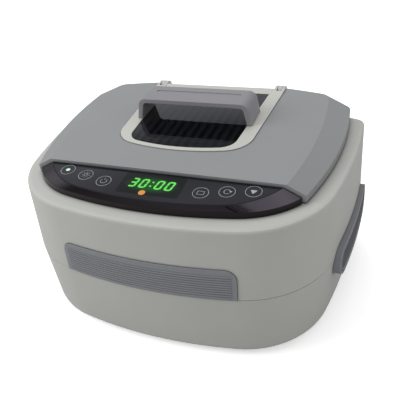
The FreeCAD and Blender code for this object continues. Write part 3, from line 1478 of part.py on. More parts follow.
inlet = node(body("power_inlet"))
socket_y = (inlet_face_y - s.socket_depth, inlet_face_y)
block(inlet, "flange", (-s.inlet_flange_half_width, s.inlet_flange_half_width), (recess_y, inlet_face_y),
      (s.inlet_z - s.inlet_flange_half_height, s.inlet_z + s.inlet_flange_half_height))
block(inlet, "body", (-s.inlet_body_half_width, s.inlet_body_half_width),
      (recess_y - s.inlet_body_depth, recess_y),
      (s.inlet_z - s.inlet_body_half_height, s.inlet_z + s.inlet_body_half_height))
block(inlet, "socket", (-s.socket_half_width, s.socket_half_width), socket_y,
      (s.inlet_z - s.socket_half_height, s.inlet_z + s.socket_half_height), cut=True)
for side, name in CORNERS:
    rod(inlet, f"screw_hole_{name}", (side * s.inlet_screw_x, recess_y, s.inlet_z),
        s.inlet_screw_radius + 4 * s.bolt_gap, s.inlet_flange, axis="Y", cut=True)

pins = node(body("inlet_pins"))
for i, (x, z) in enumerate(((-s.pin_spread, s.pin_low), (as_size(0), s.pin_high), (s.pin_spread, s.pin_low))):
    block(pins, f"blade_{i}", (x - s.pin_half_width, x + s.pin_half_width),
          (socket_y[0], inlet_face_y - s.pin_depth),
          (s.inlet_z + z - s.pin_half_height, s.inlet_z + z + s.pin_half_height))


# ---------------------------------------------------------------- wiring

def make_lead(name, points):
    """A wire along straight runs, each of which passes its corner by the wire's radius."""
    lead = body(name)
    for i, (start, end) in enumerate(zip(points, points[1:])):
        spans = [(letter, as_size(a), as_size(b)) for letter, a, b in zip("XYZ", start, end)
                 if abs(as_size(a).value - as_size(b).value) > 0.001]
        axis, a, b = spans[0]
        forward = b.value > a.value
        first = list(start if forward else end)
        start_over = s.lead_radius if i > 0 else as_size(0)
        end_over = s.lead_radius if i < len(points) - 2 else as_size(0)
        span = (b - a if forward else a - b) + start_over + end_over
        place_in = "XYZ".index(axis)
        first[place_in] = as_size(first[place_in]) - (start_over if forward else end_over)
        rod(lead, f"run_{i}", first, s.lead_radius, span, axis=axis)
    return lead


lead_y = -s.driver_y + s.driver_depth / 2 - s.lead_margin
piezo_z = piezo_top - s.piezo_thickness
stack_face = s.tank_y - s.stack_radius
turn_y = s.tank_y + s.tank_half_width - s.lead_spread / 2
leads = []
for side, name in CORNERS:
    leads.append(make_lead(f"transducer_lead_{name}", [
        (side * s.transducer_x, stack_face, piezo_z), (side * s.transducer_x, lead_y, piezo_z),
        (side * s.transducer_x, lead_y, board_top)]))
    inlet_x = side * s.lead_spread
    run_x = s.mains_lead_x + inlet_x
    run_y = turn_y + side * s.lead_spread / 2
    leads.append(make_lead(f"mains_lead_{name}", [
        (inlet_x, recess_y - s.inlet_body_depth, s.inlet_z), (inlet_x, run_y, s.inlet_z),
        (run_x, run_y, s.inlet_z), (run_x, lead_y, s.inlet_z), (run_x, lead_y, board_top)]))
leads.append(make_lead("display_lead", [
    (0, lead_y, board_top), (0, lead_y, s.seam_height), (0, -cable_y, s.seam_height),
    (0, -cable_y, control_board_bottom)]))
node(group("wiring", leads))


# ---------------------------------------------------------------- feet and screws

feet = node(body("rubber_feet"))
pad(feet, "pads", circles(feet, "pad_outline", "XY", 0, foot_spots, s.foot_radius), s.foot_height)

screws = node(body("case_screws"))
heads = circles(screws, "head_outline", "XY", base_bottom, boss_spots, s.case_screw_head_radius)
pad(screws, "heads", heads, s.case_screw_head, back=True)
shanks = circles(screws, "shank_outline", "XY", base_bottom, boss_spots, s.case_screw_radius)
pad(screws, "shanks", shanks, upper_bottom - base_bottom + 3 * s.boss_radius)

inlet_screws = node(body("inlet_screws"))
for side, name in CORNERS:
    rod(inlet_screws, f"shank_{name}", (side * s.inlet_screw_x, recess_y - 2 * s.casing_wall, s.inlet_z),
        s.inlet_screw_radius, 2 * s.casing_wall + s.inlet_flange, axis="Y")
    rod(inlet_screws, f"head_{name}", (side * s.inlet_screw_x, inlet_face_y, s.inlet_z),
        s.inlet_screw_head_radius, s.inlet_screw_head, axis="Y")


# ---------------------------------------------------------------- checks and export

doc.recompute()
for thing in doc.Objects:
    if {"Invalid", "Error"} & set(thing.State):
        raise RuntimeError(f"{thing.Label} failed: {thing.State}")
total = 0
for piece in nodes:
    shape = piece.Shape
    if shape.isNull() or not shape.isValid() or not shape.Solids:
        raise RuntimeError(f"{piece.Label} has no valid solid")
    total += len(shape.Solids)
    shape.exportStep(f"parts/{piece.Label}.step")
    print(f"{piece.Label:24s}{len(shape.Solids):3d} solids{shape.Volume / 1000:10.2f} cm3")
print(f"{len(nodes)} nodes, {total} solids")
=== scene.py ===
import json
import math

import bpy
from bpy.props import FloatProperty, FloatVectorProperty, PointerProperty, StringProperty
from mathutils import Matrix, Vector


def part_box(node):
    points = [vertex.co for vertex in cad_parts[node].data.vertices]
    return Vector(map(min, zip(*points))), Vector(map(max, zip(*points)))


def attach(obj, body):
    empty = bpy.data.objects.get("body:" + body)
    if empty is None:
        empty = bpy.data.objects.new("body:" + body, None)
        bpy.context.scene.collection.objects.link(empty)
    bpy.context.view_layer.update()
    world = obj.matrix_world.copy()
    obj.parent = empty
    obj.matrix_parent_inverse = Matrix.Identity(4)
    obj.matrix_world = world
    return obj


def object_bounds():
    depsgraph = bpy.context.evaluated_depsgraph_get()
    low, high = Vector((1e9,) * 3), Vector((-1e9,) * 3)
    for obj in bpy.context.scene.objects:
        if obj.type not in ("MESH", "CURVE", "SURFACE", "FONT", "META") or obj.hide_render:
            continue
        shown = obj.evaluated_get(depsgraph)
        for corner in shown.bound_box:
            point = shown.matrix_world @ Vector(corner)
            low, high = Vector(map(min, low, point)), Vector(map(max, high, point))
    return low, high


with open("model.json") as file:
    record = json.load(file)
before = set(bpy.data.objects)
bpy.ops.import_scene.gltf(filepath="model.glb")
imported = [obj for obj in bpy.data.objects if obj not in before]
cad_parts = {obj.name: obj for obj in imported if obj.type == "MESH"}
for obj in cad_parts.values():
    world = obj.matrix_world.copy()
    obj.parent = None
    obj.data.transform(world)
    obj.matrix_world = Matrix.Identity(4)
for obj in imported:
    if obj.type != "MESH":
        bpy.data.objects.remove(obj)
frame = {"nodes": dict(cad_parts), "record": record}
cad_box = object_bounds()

bl_info = {
    "name": "Ultrasonic cleaner looks",
    "version": (1, 0, 0),
    "blender": (4, 5, 0),
    "location": "View3D > Sidebar > Cleaner",
    "description": "Finishes, printed marks, display and studio for the bench-top ultrasonic cleaner",
    "category": "Object",
}

MM = 0.001
nodes = frame["nodes"]

# Headings on the panel, and the centres of its six touch marks in mm: across, and up the slope
UP, DOWN = math.pi / 2, -math.pi / 2
MARK_PLACES = ((-83, -67), (-63, -71), (-43, -76), (43, -76), (63, -71), (83, -67))

# Printed shapes
DISC_SIDES, RING_SIDES = 32, 48
RAYS = 8  # round the sun of the heating mark
BLUNTNESS = 0.12  # how far a triangle's corners are cut back, in its radius

# A digit's seven bars: their places as shares of half the digit's width and height, and which are lit
BARS = {"a": (0, 1), "b": (1, 0.5), "c": (1, -0.5), "d": (0, -1), "e": (-1, -0.5), "f": (-1, 0.5),
        "g": (0, 0)}
LIT = {"0": "abcdef", "1": "bc", "2": "abged", "3": "abgcd", "4": "fgbc", "5": "afgcd", "6": "afgedc",
       "7": "abc", "8": "abcdefg", "9": "abfgcd"}
SLANT = 0.16  # how far a digit leans to the right for its height
ADVANCE = 1.42  # from one digit to the next, in digit widths
COLON = 0.25  # how far the colon stands before the place that a digit would have, in advances
COLON_SPREAD = 0.22  # its dots' distance from the middle, in digit heights
BAR_FILL = 0.96  # how much of its place a bar takes
BAR_POINT, DOT_POINT = 0.45, 0.2  # how far a bar's and a dot's corners are cut back, in strokes
DIGITS_RAISE = 1.0 * MM  # how far up the slope the digits stand from the display's middle
DISPLAY_CORNER = 2.5 * MM  # how far the display window's corners are cut back
STATUS_X = -4 * MM  # place of the status light across the panel
STATUS_DROP = 0.41  # its distance below the display's middle, in window depths
GLASS_SHARE, GLOW_SHARE = 0.4, 0.3  # thickness of the window and of the glow, in prints

# The badge's ribs
RIB_STEPS = 48  # faces along a rib, so that it follows the badge's curve
RIB_START = 5 * MM  # how far in front of the badge a rib is before it is laid on
RIB_SOFTNESS = 0.6  # rounding of a rib's edges, in rib depths

# The room that glossy faces mirror: the height of a direction, and how bright the room is there
ROOM = ((0.02, 0.2), (0.25, 0.3), (0.42, 0.75), (0.47, 0.5), (0.505, 0.14), (0.555, 0.2), (0.58, 1.0),
        (0.61, 0.55), (0.66, 0.35), (0.685, 0.7), (0.74, 0.35), (0.86, 0.95), (0.98, 0.75))
ROOM_TINT = (0.95, 0.97, 1.05)

FLOOR_SIZE = 12  # width of the studio's paper in metres
SENSOR_MM = 36  # width of the camera's sensor

# Lamps: name, place and width in metres, and share of the key light's power
LAMPS = (("key", (-1.1, -0.55, 0.95), 0.9, 1.0), ("top", (-0.2, 0.5, 1.3), 0.9, 0.5),
         ("side", (1.3, 0.0, 0.6), 0.8, 0.22))


# ------------------------------------------------------------------ the frame's own places

def flat_top(node):
    """Middle and normal of a node's largest face that looks up."""
    faces = [f for f in nodes[node].data.polygons if f.normal.z > 0.9]
    face = max(faces, key=lambda f: f.area)
    return face.center.copy(), face.normal.copy()


def lens_plane():
    """Turns flat panel coordinates, up the slope and across, into places on the lens."""
    spot, normal = flat_top("control_lens")
    height = spot.z + normal.y * spot.y / normal.z
    slope = math.atan2(-normal.y, normal.z)
    return Matrix.Translation((0, 0, height)) @ Matrix.Rotation(slope, 4, "X")


badge_low, badge_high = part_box("front_badge")


# ------------------------------------------------------------------ settings

def linear(text):
    """Turns an sRGB hex colour into the linear colour that a shader takes."""
    parts = [int(text[i:i + 2], 16) / 255 for i in (0, 2, 4)]
    return (*((p / 12.92 if p <= 0.04045 else ((p + 0.055) / 1.055) ** 2.4) for p in parts), 1.0)


def length(name, description, default):
    """A setting for a length, which is never below zero."""
    return FloatProperty(name=name, description=description, default=default, min=0, unit="LENGTH",
                         precision=5)


def place(name, description, default):
    """A setting for a place on the panel, on either side of its middle."""
    return FloatProperty(name=name, description=description, default=default, unit="LENGTH", precision=5)


def colour(name, description, default):
    """A setting for a colour, whose default is written as sRGB hex."""
    return FloatVectorProperty(name=name, description=description, default=linear(default), size=4,
                               min=0, max=1, subtype="COLOR")


class CleanerColours(bpy.types.PropertyGroup):
    casing: colour("Casing", "Light grey of the two casing shells", "B2B3AE")
    lid: colour("Lid", "Middle grey of the lid cover", "888A8B")
    ring: colour("Ring", "Pale warm grey of the frame round the window", "BABAB4")
    trim: colour("Trim", "Darker grey of the badge and the side grips", "808186")
    handle: colour("Handle", "Grey of the lid handle", "858387")
    bezel: colour("Bezel", "Brown-black of the glossy control bezel", "0A0708")
    lens: colour("Lens", "Charcoal of the smoked control lens", "141418")
    digits: colour("Digits", "Green of the lit digits", "6CF45A")
    marks: colour("Marks", "Grey of the printed touch marks", "A0A3A8")
    indicator: colour("Indicator", "Orange of the status light", "F09C48")
    ready: colour("Ready", "Pale green of the light in the first touch mark", "DDFFE2")


class BadgeSettings(bpy.types.PropertyGroup):
    pitch: length("Rib pitch", "Height from one rib to the next", 2.35 * MM)
    width: length("Rib width", "Height of one rib", 1.25 * MM)
    depth: length("Rib depth", "How far a rib stands out of the badge", 0.45 * MM)
    side_border: length("Side border", "Plain band at each end of the badge", 4.0 * MM)
    top_border: length("Top border", "Plain band along the badge's upper edge", 4.0 * MM)


class MarkSettings(bpy.types.PropertyGroup):
    ring_radius: length("Ring radius", "Radius of the printed ring round a mark", 6.6 * MM)
    line: length("Line", "Width of a printed line", 0.42 * MM)
    lift: length("Lift", "Thickness of the print on the lens", 0.05 * MM)


class DisplaySettings(bpy.types.PropertyGroup):
    width: length("Window width", "Width of the dark display window", 54.5 * MM)
    depth: length("Window depth", "Depth of the display window, up the slope", 25.5 * MM)
    centre_y: place("Window centre", "Place of the window's middle on the panel", -74.0 * MM)
    digit_height: length("Digit height", "Height of a digit, up the slope", 11.4 * MM)
    digit_width: length("Digit width", "Width of a digit", 6.4 * MM)
    stroke: length("Stroke", "Width of a digit's bars", 1.6 * MM)
    glow: length("Glow", "How far the digits' light spreads behind the lens", 0.9 * MM)
    text: StringProperty(name="Time", description="Minutes and seconds shown", default="30:00")


class LightSettings(bpy.types.PropertyGroup):
    status_radius: length("Status light radius", "Radius of the orange status light", 2.9 * MM)
    ready_radius: length("Ready light radius", "Radius of the pale green light", 1.9 * MM)


class StudioSettings(bpy.types.PropertyGroup):
    azimuth: FloatProperty(name="Azimuth", description="Camera's turn round the object",
                           default=math.radians(24.7), subtype="ANGLE")
    elevation: FloatProperty(name="Elevation", description="Camera's angle above the table",
                             default=math.radians(35.0), subtype="ANGLE")
    roll: FloatProperty(name="Roll", description="Camera's lean to one side", default=-0.128,
                        subtype="ANGLE")
    position: FloatVectorProperty(name="Position", description="Camera's place", size=3,
                                  subtype="TRANSLATION", unit="LENGTH",
                                  default=(0.17557, -0.3794, 0.36971))
    lens: FloatProperty(name="Lens", description="Focal length on a 36 mm sensor", default=46.55,
                        unit="CAMERA")
    shift: FloatVectorProperty(name="Shift", description="Lens shift, as a share of the frame", size=2,
                               default=(0.01675, 0.00425))
    key_power: FloatProperty(name="Key light", description="Power of the large soft lamp", default=11.0,
                             unit="POWER")
    fill: FloatProperty(name="Fill", description="Strength of the world's even light", default=0.6,
                        min=0)
    floor_glow: FloatProperty(name="Floor glow", default=0.45, min=0, max=1, subtype="FACTOR",
                              description="Share of the floor's white that shadows leave")


SETTINGS = {"cleaner_colours": CleanerColours, "cleaner_badge": BadgeSettings,
            "cleaner_marks": MarkSettings, "cleaner_display": DisplaySettings,
            "cleaner_lights": LightSettings, "cleaner_studio": StudioSettings}


# ------------------------------------------------------------------ materials

MOTTLE_MM = 38  # slow change of tone over a moulded face
PATCH_MM = 9  # patches of more and less gloss
SMEAR_MM = 14  # handling smears on a polished face
WINDOW_SMEAR_MM = 16  # the same on the window
FLICKER_MM = 3  # stronger and weaker spots of a lit mark
FIBRE_MM = 2  # fibre of the studio's paper
SEAM_SHADE_MM = 2  # how near a neighbour has to be for painted shade to darken a face
SEAM_SHADE = 0.3  # what painted shade in a closed seam leaves of the colour
WIDE_SEAM_SHADE = (0.5, 0.97)  # painted seam shade that fades out over a longer way
EDGE_HIGHLIGHT_PALENESS = 1.7  # how much paler a painted edge highlight is
EDGE_HIGHLIGHT_SHARE = 0.6  # how much of that painted paleness shows
FLUTE_MM = 8.3  # from one flute under the window to the next
TURN_MM = 0.6  # from one turn of the winding to the next
WEAVE_MM = 0.8  # a thread of the heater's glass cloth
TRACK_MM = 5  # scale of the board's tracks


def scaled(base, factor):
    """A colour made paler or darker."""
    return (*(min(1, channel * factor) for channel in base[:3]), 1)


def add(tree, kind, settings=None, **inputs):
    """Adds a node with its own settings, and gives its sockets values or what other nodes send."""
    node = tree.nodes.new(f"ShaderNode{kind}")
    for name, value in (settings or {}).items():
        setattr(node, name, value)
    sockets = {socket.identifier.replace(" ", "_"): socket for socket in node.inputs}
    for name, value in inputs.items():
        if isinstance(value, bpy.types.NodeSocket):
            tree.links.new(value, sockets[name])
        else:
            sockets[name].default_value = value
    return node


def mixed(tree, factor, first, second):
    """Blends two colours: the first at a factor of 0, the second at 1."""
    mix = add(tree, "Mix", {"data_type": "RGBA"}, Factor_Float=factor, A_Color=first, B_Color=second)
    return mix.outputs["Result"]


def ramped(tree, value, **limits):
    """Maps a value from one range to another."""
    return add(tree, "MapRange", Value=value, **limits).outputs["Result"]


def soft_edge(tree, radius_mm):
    """The normal over softened edges, the face's own, and how well the two agree: 1 away from edges."""
    edge = add(tree, "Bevel", {"samples": 6}, Radius=radius_mm * MM).outputs["Normal"]
    face = add(tree, "NewGeometry").outputs["Normal"]
    match = add(tree, "VectorMath", {"operation": "DOT_PRODUCT"}, Vector=edge, Vector_001=face)
    return edge, face, match.outputs["Value"]


def new_material(name):
    """An empty material with its output, its tree and Object coordinates."""
    material = bpy.data.materials.new(name)
    material.use_nodes = True
    tree = material.node_tree
    tree.nodes.clear()
    output = add(tree, "OutputMaterial")
    place_on_piece = add(tree, "TexCoord").outputs["Object"]
    return material, tree, output, place_on_piece


def surface(tree, output, **sockets):
    """Ends a material with a Principled shader."""
    skin = add(tree, "BsdfPrincipled", **sockets)
    tree.links.new(skin.outputs["BSDF"], output.inputs["Surface"])


def per(millimetres):
    """The texture scale at which one feature is that many millimetres across."""
    return 1 / (millimetres * MM)


def wave_scale(millimetres):
    """The wave texture's scale at which one band follows the last by that many millimetres."""
    return per(millimetres) * math.tau / 20


def moulded_plastic(name, base, roughness, grain_mm=0.45, grain_height=0.035, mottle=0.035, edge_mm=0.6,
                    seam_shade=(0.3, 0.8)):
    """An injection-moulded plastic: fine mould grain, slow mottling, painted edge highlights, painted
    seam shade.

    Painted seam shade is full where a face sees less than the first share of open air, gone from the
    second on.
    """
    material, tree, output, at = new_material(name)
    slow = add(tree, "TexNoise", Vector=at, Scale=per(MOTTLE_MM), Detail=3.0)
    tint = mixed(tree, slow.outputs["Fac"], scaled(base, 1 - mottle), scaled(base, 1 + mottle))
    # Painted shade: a face is darkened where a neighbouring part is near it
    open_air = add(tree, "AmbientOcclusion", {"samples": 8}, Distance=SEAM_SHADE_MM * MM)
    unshaded = ramped(tree, open_air.outputs["AO"], From_Min=seam_shade[0], From_Max=seam_shade[1])
    tint = mixed(tree, unshaded, scaled(base, SEAM_SHADE), tint)
    patches = add(tree, "TexNoise", Vector=at, Scale=per(PATCH_MM), Detail=4.0)
    gloss = ramped(tree, patches.outputs["Fac"], To_Min=roughness - 0.04, To_Max=roughness + 0.05)
    edge, _, match = soft_edge(tree, edge_mm)
    # Painted highlight: edges are made paler where the softened normal turns from the face's own
    edge_highlight = ramped(tree, match, From_Min=0.995, From_Max=0.93, To_Max=EDGE_HIGHLIGHT_SHARE)
    tint = mixed(tree, edge_highlight, tint, scaled(base, EDGE_HIGHLIGHT_PALENESS))
    grain = add(tree, "TexNoise", Vector=at, Scale=per(grain_mm), Detail=2.0)
    bump = add(tree, "Bump", Strength=0.5, Distance=grain_height * MM, Height=grain.outputs["Fac"],
               Normal=edge)
    surface(tree, output, Base_Color=tint, Roughness=gloss, Normal=bump.outputs["Normal"])
    return material


def casing_plastic(colours):
    # ABS from a spark-eroded mould: an even, dull grey with a faint speckle and no mirror shine
    return moulded_plastic("light grey grained ABS", colours.casing, roughness=0.5, seam_shade=WIDE_SEAM_SHADE)


def lid_plastic(colours):
    # The same ABS in a darker batch: it reads as a flat middle grey with a soft sheen at its bends,
    # partly painted as pale edges
    return moulded_plastic("middle grey grained ABS", colours.lid, roughness=0.48, seam_shade=WIDE_SEAM_SHADE)


def ring_plastic(colours):
    # Natural ABS, polished more than the lid: a pale warm band with a soft highlight
    return moulded_plastic("pale satin ABS", colours.ring, roughness=0.4, grain_height=0.015)


def trim_plastic(colours):
    # Polypropylene trim: slightly waxy, darker than the casing
    return moulded_plastic("grey satin polypropylene", colours.trim, roughness=0.42, grain_height=0.02)


def handle_plastic(colours):
    # Handled ABS, rubbed smoother than the lid
    return moulded_plastic("grey satin ABS handle", colours.handle, roughness=0.4, grain_height=0.02,
                           edge_mm=1.1)


def glossy_plastic(name, base, roughness, edge_mm=0.5, painted_wall_reflection=1.0, painted_top_reflection=1.0, **shader):
    """A polished or lacquered plastic: near-mirror, with faint handling smears and edges painted dull
    and dark.

    Its upright walls and its upper faces get their own painted strengths of reflection.
    """
    material, tree, output, at = new_material(name)
    smears = add(tree, "TexNoise", Vector=at, Scale=per(SMEAR_MM), Detail=5.0, Distortion=0.6)
    gloss = ramped(tree, smears.outputs["Fac"], From_Min=0.35, From_Max=0.75, To_Min=roughness,
                   To_Max=roughness + 0.06)
    tint = mixed(tree, smears.outputs["Fac"], base, scaled(base, 1.25))
    edge, face, match = soft_edge(tree, edge_mm)
    # Painted shade: the reflection is turned down along edges, drawing a dark line
    level = ramped(tree, match, From_Min=0.9, From_Max=0.995, To_Max=0.5)
    # Painted reflection: upper faces are given a stronger reflection than upright walls
    lean = add(tree, "SeparateXYZ", Vector=face)
    share = ramped(tree, lean.outputs["Z"], From_Min=0.6, From_Max=0.9, To_Min=painted_wall_reflection,
                   To_Max=painted_top_reflection)
    painted_reflection_level = add(tree, "Math", {"operation": "MULTIPLY"}, Value=level, Value_001=share)
    surface(tree, output, Base_Color=tint, Roughness=gloss, Normal=edge,
            Specular_IOR_Level=painted_reflection_level.outputs["Value"], **shader)
    return material


def bezel_plastic(colours):
    # Lacquered ABS: brown-black, with painted reflection, stronger on its wet-looking top than on its
    # duller wall, and a lavender cast in its shine
    return glossy_plastic("brown-black lacquered ABS", colours.bezel, roughness=0.05, painted_wall_reflection=0.45,
                          painted_top_reflection=1.8, IOR=1.75, Specular_Tint=linear("F0E2EE"))


def lens_plastic(colours):
    # Smoked acrylic over the board: charcoal with soft reflections and a painted dark line round its
    # edge
    return glossy_plastic("smoked acrylic lens", colours.lens, roughness=0.1, edge_mm=1.0, IOR=1.49)


def window_plastic(colours):
    # Deep-tinted polycarbonate, almost black: it mirrors what stands on it, and shallow flutes on its
    # underside show as faint bands of painted light and shade from front to back
    material, tree, output, at = new_material("smoke-tinted polycarbonate")
    flutes = add(tree, "TexWave", {"bands_direction": "X", "wave_profile": "SIN"}, Vector=at,
                 Scale=wave_scale(FLUTE_MM))
    # Painted light and shade: the flutes show as lighter and darker bands in the colour; the bump is
    # their relief
    tint = mixed(tree, flutes.outputs["Fac"], linear("050608"), linear("1A1B21"))
    smears = add(tree, "TexNoise", Vector=at, Scale=per(WINDOW_SMEAR_MM), Detail=4.0)
    gloss = ramped(tree, smears.outputs["Fac"], To_Min=0.02, To_Max=0.07)
    bump = add(tree, "Bump", Strength=0.3, Distance=0.05 * MM, Height=flutes.outputs["Fac"])
    surface(tree, output, Base_Color=tint, Roughness=gloss, Normal=bump.outputs["Normal"], IOR=1.58,
            Transmission_Weight=0.35)
    return material


def metal(name, base, roughness, line_mm=0.35, stretch=(1, 40, 40)):
    """A worked metal with fine tool lines, drawn out along the axes that stretch leaves at 1."""
    material, tree, output, at = new_material(name)
    lay = add(tree, "Mapping", Vector=at, Scale=stretch)
    lines = add(tree, "TexNoise", Vector=lay.outputs["Vector"], Scale=per(line_mm * max(stretch)),
                Detail=3.0)
    gloss = ramped(tree, lines.outputs["Fac"], To_Min=roughness - 0.08, To_Max=roughness + 0.1)
    tint = mixed(tree, lines.outputs["Fac"], scaled(base, 0.85), base)
    bump = add(tree, "Bump", Strength=0.4, Distance=0.01 * MM, Height=lines.outputs["Fac"])
    surface(tree, output, Base_Color=tint, Metallic=1.0, Roughness=gloss, Normal=bump.outputs["Normal"])
    return material


def tank_steel(colours):
    # Deep-drawn and brushed stainless steel: upright draw lines that spread each highlight
    return metal("brushed stainless steel", linear("C9C9C6"), roughness=0.3, stretch=(40, 40, 1))


def horn_aluminium(colours):
    # Turned aluminium: pale, with fine tool marks
    return metal("turned aluminium", linear("D5D6D8"), roughness=0.32, line_mm=0.25, stretch=(1, 1, 40))


def zinc_steel(colours):
    # Zinc-plated steel: a slightly blue, cloudy plating
    return metal("zinc-plated steel", linear("B9BDC0"), roughness=0.35, line_mm=1.2, stretch=(1, 1, 1))


def contact_brass(colours):
    # Plated brass contacts: warm and bright
    return metal("plated brass", linear("D8C48C"), roughness=0.25, line_mm=0.3, stretch=(40, 1, 40))


def basket_plastic(colours):
    # Black polypropylene, wetted and dried often: a dull sheen with pale water marks
    return moulded_plastic("black polypropylene", linear("26272A"), roughness=0.45, mottle=0.2,
                           edge_mm=0.4)


def seal_rubber(colours):
    # Black silicone: matt, with a dusty bloom
    return moulded_plastic("black silicone seal", linear("1E1F20"), roughness=0.75, mottle=0.15,
                           edge_mm=0.2)


def foot_rubber(colours):
    # Moulded rubber feet: matt charcoal
    return moulded_plastic("charcoal moulded rubber", linear("2A2A2B"), roughness=0.8, grain_mm=0.8,
                           mottle=0.15, edge_mm=0.5)


def black_plastic(colours):
    # Glass-filled nylon: near black with a fine pale fleck
    return moulded_plastic("black glass-filled nylon", linear("1D1E20"), roughness=0.5, grain_mm=0.6,
                           mottle=0.25, edge_mm=0.3)


def capacitor_sleeve(colours):
    # Shrunk PVC sleeve: smooth dark blue
    return moulded_plastic("dark blue shrink sleeve", linear("1B2A5A"), roughness=0.3,
                           grain_height=0.005, edge_mm=0.8)


def wire_insulation(colours):
    # PVC insulation: smooth red with a low sheen
    return moulded_plastic("red PVC insulation", linear("A8201C"), roughness=0.4, grain_height=0.005,
                           edge_mm=0.1)


def silicone_mat(colours):
    # Moulded silicone heater: orange-red with the print of its glass cloth
    material, tree, output, at = new_material("orange silicone on glass cloth")
    weave = add(tree, "TexChecker", Vector=at, Scale=per(WEAVE_MM), Color1=linear("C8581F"),
                Color2=linear("B44C18"))
    bump = add(tree, "Bump", Strength=0.4, Distance=0.05 * MM, Height=weave.outputs["Fac"])
    surface(tree, output, Base_Color=weave.outputs["Color"], Roughness=0.6,
            Normal=bump.outputs["Normal"])
    return material


def piezo_ceramic(colours):
    # Fired ceramic: a brown-grey body with a sparkling grain
    return moulded_plastic("fired piezo ceramic", linear("6E675C"), roughness=0.6, grain_mm=0.3,
                           grain_height=0.03, mottle=0.2)


def coil_copper(colours):
    # Enamelled copper wire: amber, in close parallel turns, with painted shade between turns and a
    # painted highlight along each
    material, tree, output, at = new_material("enamelled copper winding")
    turns = add(tree, "TexWave", {"bands_direction": "Y"}, Vector=at, Scale=wave_scale(TURN_MM))
    # Painted shade and highlight: each turn runs from dark at its sides to pale along its crest
    tint = mixed(tree, turns.outputs["Fac"], linear("5E2A10"), linear("C0703A"))
    bump = add(tree, "Bump", Strength=0.7, Distance=0.2 * MM, Height=turns.outputs["Fac"])
    surface(tree, output, Base_Color=tint, Metallic=0.8, Roughness=0.35, Normal=bump.outputs["Normal"])
    return material


def board_laminate(colours):
    # Glass-epoxy laminate under green solder mask: copper tracks show as lighter lanes between squares
    material, tree, output, at = new_material("green solder mask on laminate")
    tracks = add(tree, "TexBrick", {"offset": 0.37, "squash": 0.6}, Vector=at, Scale=per(TRACK_MM),
                 Mortar_Size=0.05, Color1=linear("145C33"), Color2=linear("114F2C"),
                 Mortar=linear("2F8A55"))
    bump = add(tree, "Bump", Strength=0.3, Distance=0.035 * MM, Height=tracks.outputs["Fac"])
    surface(tree, output, Base_Color=tracks.outputs["Color"], Roughness=0.3,
            Normal=bump.outputs["Normal"])
    return material


def light_material(name, base, strength, body):
    """A lit mark behind the lens: its colour glows, slightly unevenly, over a dark body in hex."""
    material, tree, output, at = new_material(name)
    flicker = add(tree, "TexNoise", Vector=at, Scale=per(FLICKER_MM), Detail=1.0)
    level = ramped(tree, flicker.outputs["Fac"], To_Min=0.85 * strength, To_Max=1.1 * strength)
    surface(tree, output, Base_Color=linear(body), Roughness=0.2, Emission_Color=base,
            Emission_Strength=level)
    return material


def printed_ink(colours):
    # Screen-printed ink: pale, slightly uneven at its edges
    return moulded_plastic("pale screen-printed ink", colours.marks, roughness=0.55, grain_mm=0.3,
                           mottle=0.08)


def display_glass(settings):
    """The dark display window, with green light that fades out round the digits."""
    material, tree, output, at = new_material("black display glass with green glow")
    centre = lens_plane() @ Vector((0, settings.centre_y, 0))
    reach = (settings.width * 0.5, settings.depth * 0.45, 1)
    local = add(tree, "Mapping", {"vector_type": "TEXTURE"}, Vector=at, Location=centre, Scale=reach)
    away = add(tree, "VectorMath", {"operation": "LENGTH"}, Vector=local.outputs["Vector"])
    glow = add(tree, "MapRange", {"interpolation_type": "SMOOTHSTEP"}, Value=away.outputs["Value"],
               From_Min=1.0, From_Max=0.3, To_Min=0.0, To_Max=0.12)
    surface(tree, output, Base_Color=linear("060907"), Roughness=0.1, IOR=1.4,
            Emission_Color=linear("2FC832"), Emission_Strength=glow.outputs["Result"])
    return material


FINISHES = {
    "casing_plastic": casing_plastic, "lid_plastic": lid_plastic, "lid_frame_plastic": ring_plastic,
    "trim_plastic": trim_plastic, "handle_plastic": handle_plastic, "bezel_plastic": bezel_plastic,
    "lens_plastic": lens_plastic, "window_plastic": window_plastic, "tank_steel": tank_steel,
    "basket_plastic": basket_plastic, "seal_rubber": seal_rubber, "foot_rubber": foot_rubber,
    "horn_aluminium": horn_aluminium, "piezo_ceramic": piezo_ceramic, "zinc_steel": zinc_steel,
    "silicone_mat": silicone_mat, "board_laminate": board_laminate, "black_plastic": black_plastic,
    "coil_copper": coil_copper, "capacitor_sleeve": capacitor_sleeve, "contact_brass": contact_brass,
    "wire_insulation": wire_insulation,
}


# ------------------------------------------------------------------ shaping tools

def clear_selection():
    """Leaves edit mode and selects nothing."""
    if bpy.context.object and bpy.context.object.mode != "OBJECT":
        bpy.ops.object.mode_set(mode="OBJECT")
    bpy.ops.object.select_all(action="DESELECT")


def pick(piece):
    """Selects one piece alone and makes it the active one."""
    clear_selection()
    piece.select_set(True)
    bpy.context.view_layer.objects.active = piece


def edit(piece):
    """Goes into edit mode on one piece alone, with all of it selected."""
    pick(piece)
    bpy.ops.object.mode_set(mode="EDIT")
    bpy.ops.mesh.select_all(action="SELECT")


def leave():
    """Goes back to object mode."""
    bpy.ops.object.mode_set(mode="OBJECT")


def select_vertices(piece, test):
    """Selects the vertices that pass the test, and goes back into edit mode."""
    leave()
    for vertex in piece.data.vertices:
        vertex.select = test(vertex)
    bpy.ops.object.mode_set(mode="EDIT")
    bpy.ops.mesh.select_mode(type="VERT")


def put(piece, matrix):
    """Moves a piece's mesh to its place, and leaves its object at the origin."""
    pick(piece)
    piece.matrix_world = matrix
    bpy.ops.object.transform_apply(location=True, rotation=True, scale=True)
    return piece


def joined(name, members):
    """One piece from several, named."""
    clear_selection()
    for member in members:
        member.select_set(True)
    bpy.context.view_layer.objects.active = members[0]
    if len(members) > 1:
        bpy.ops.object.join()
    members[0].name = members[0].data.name = name
    return members[0]


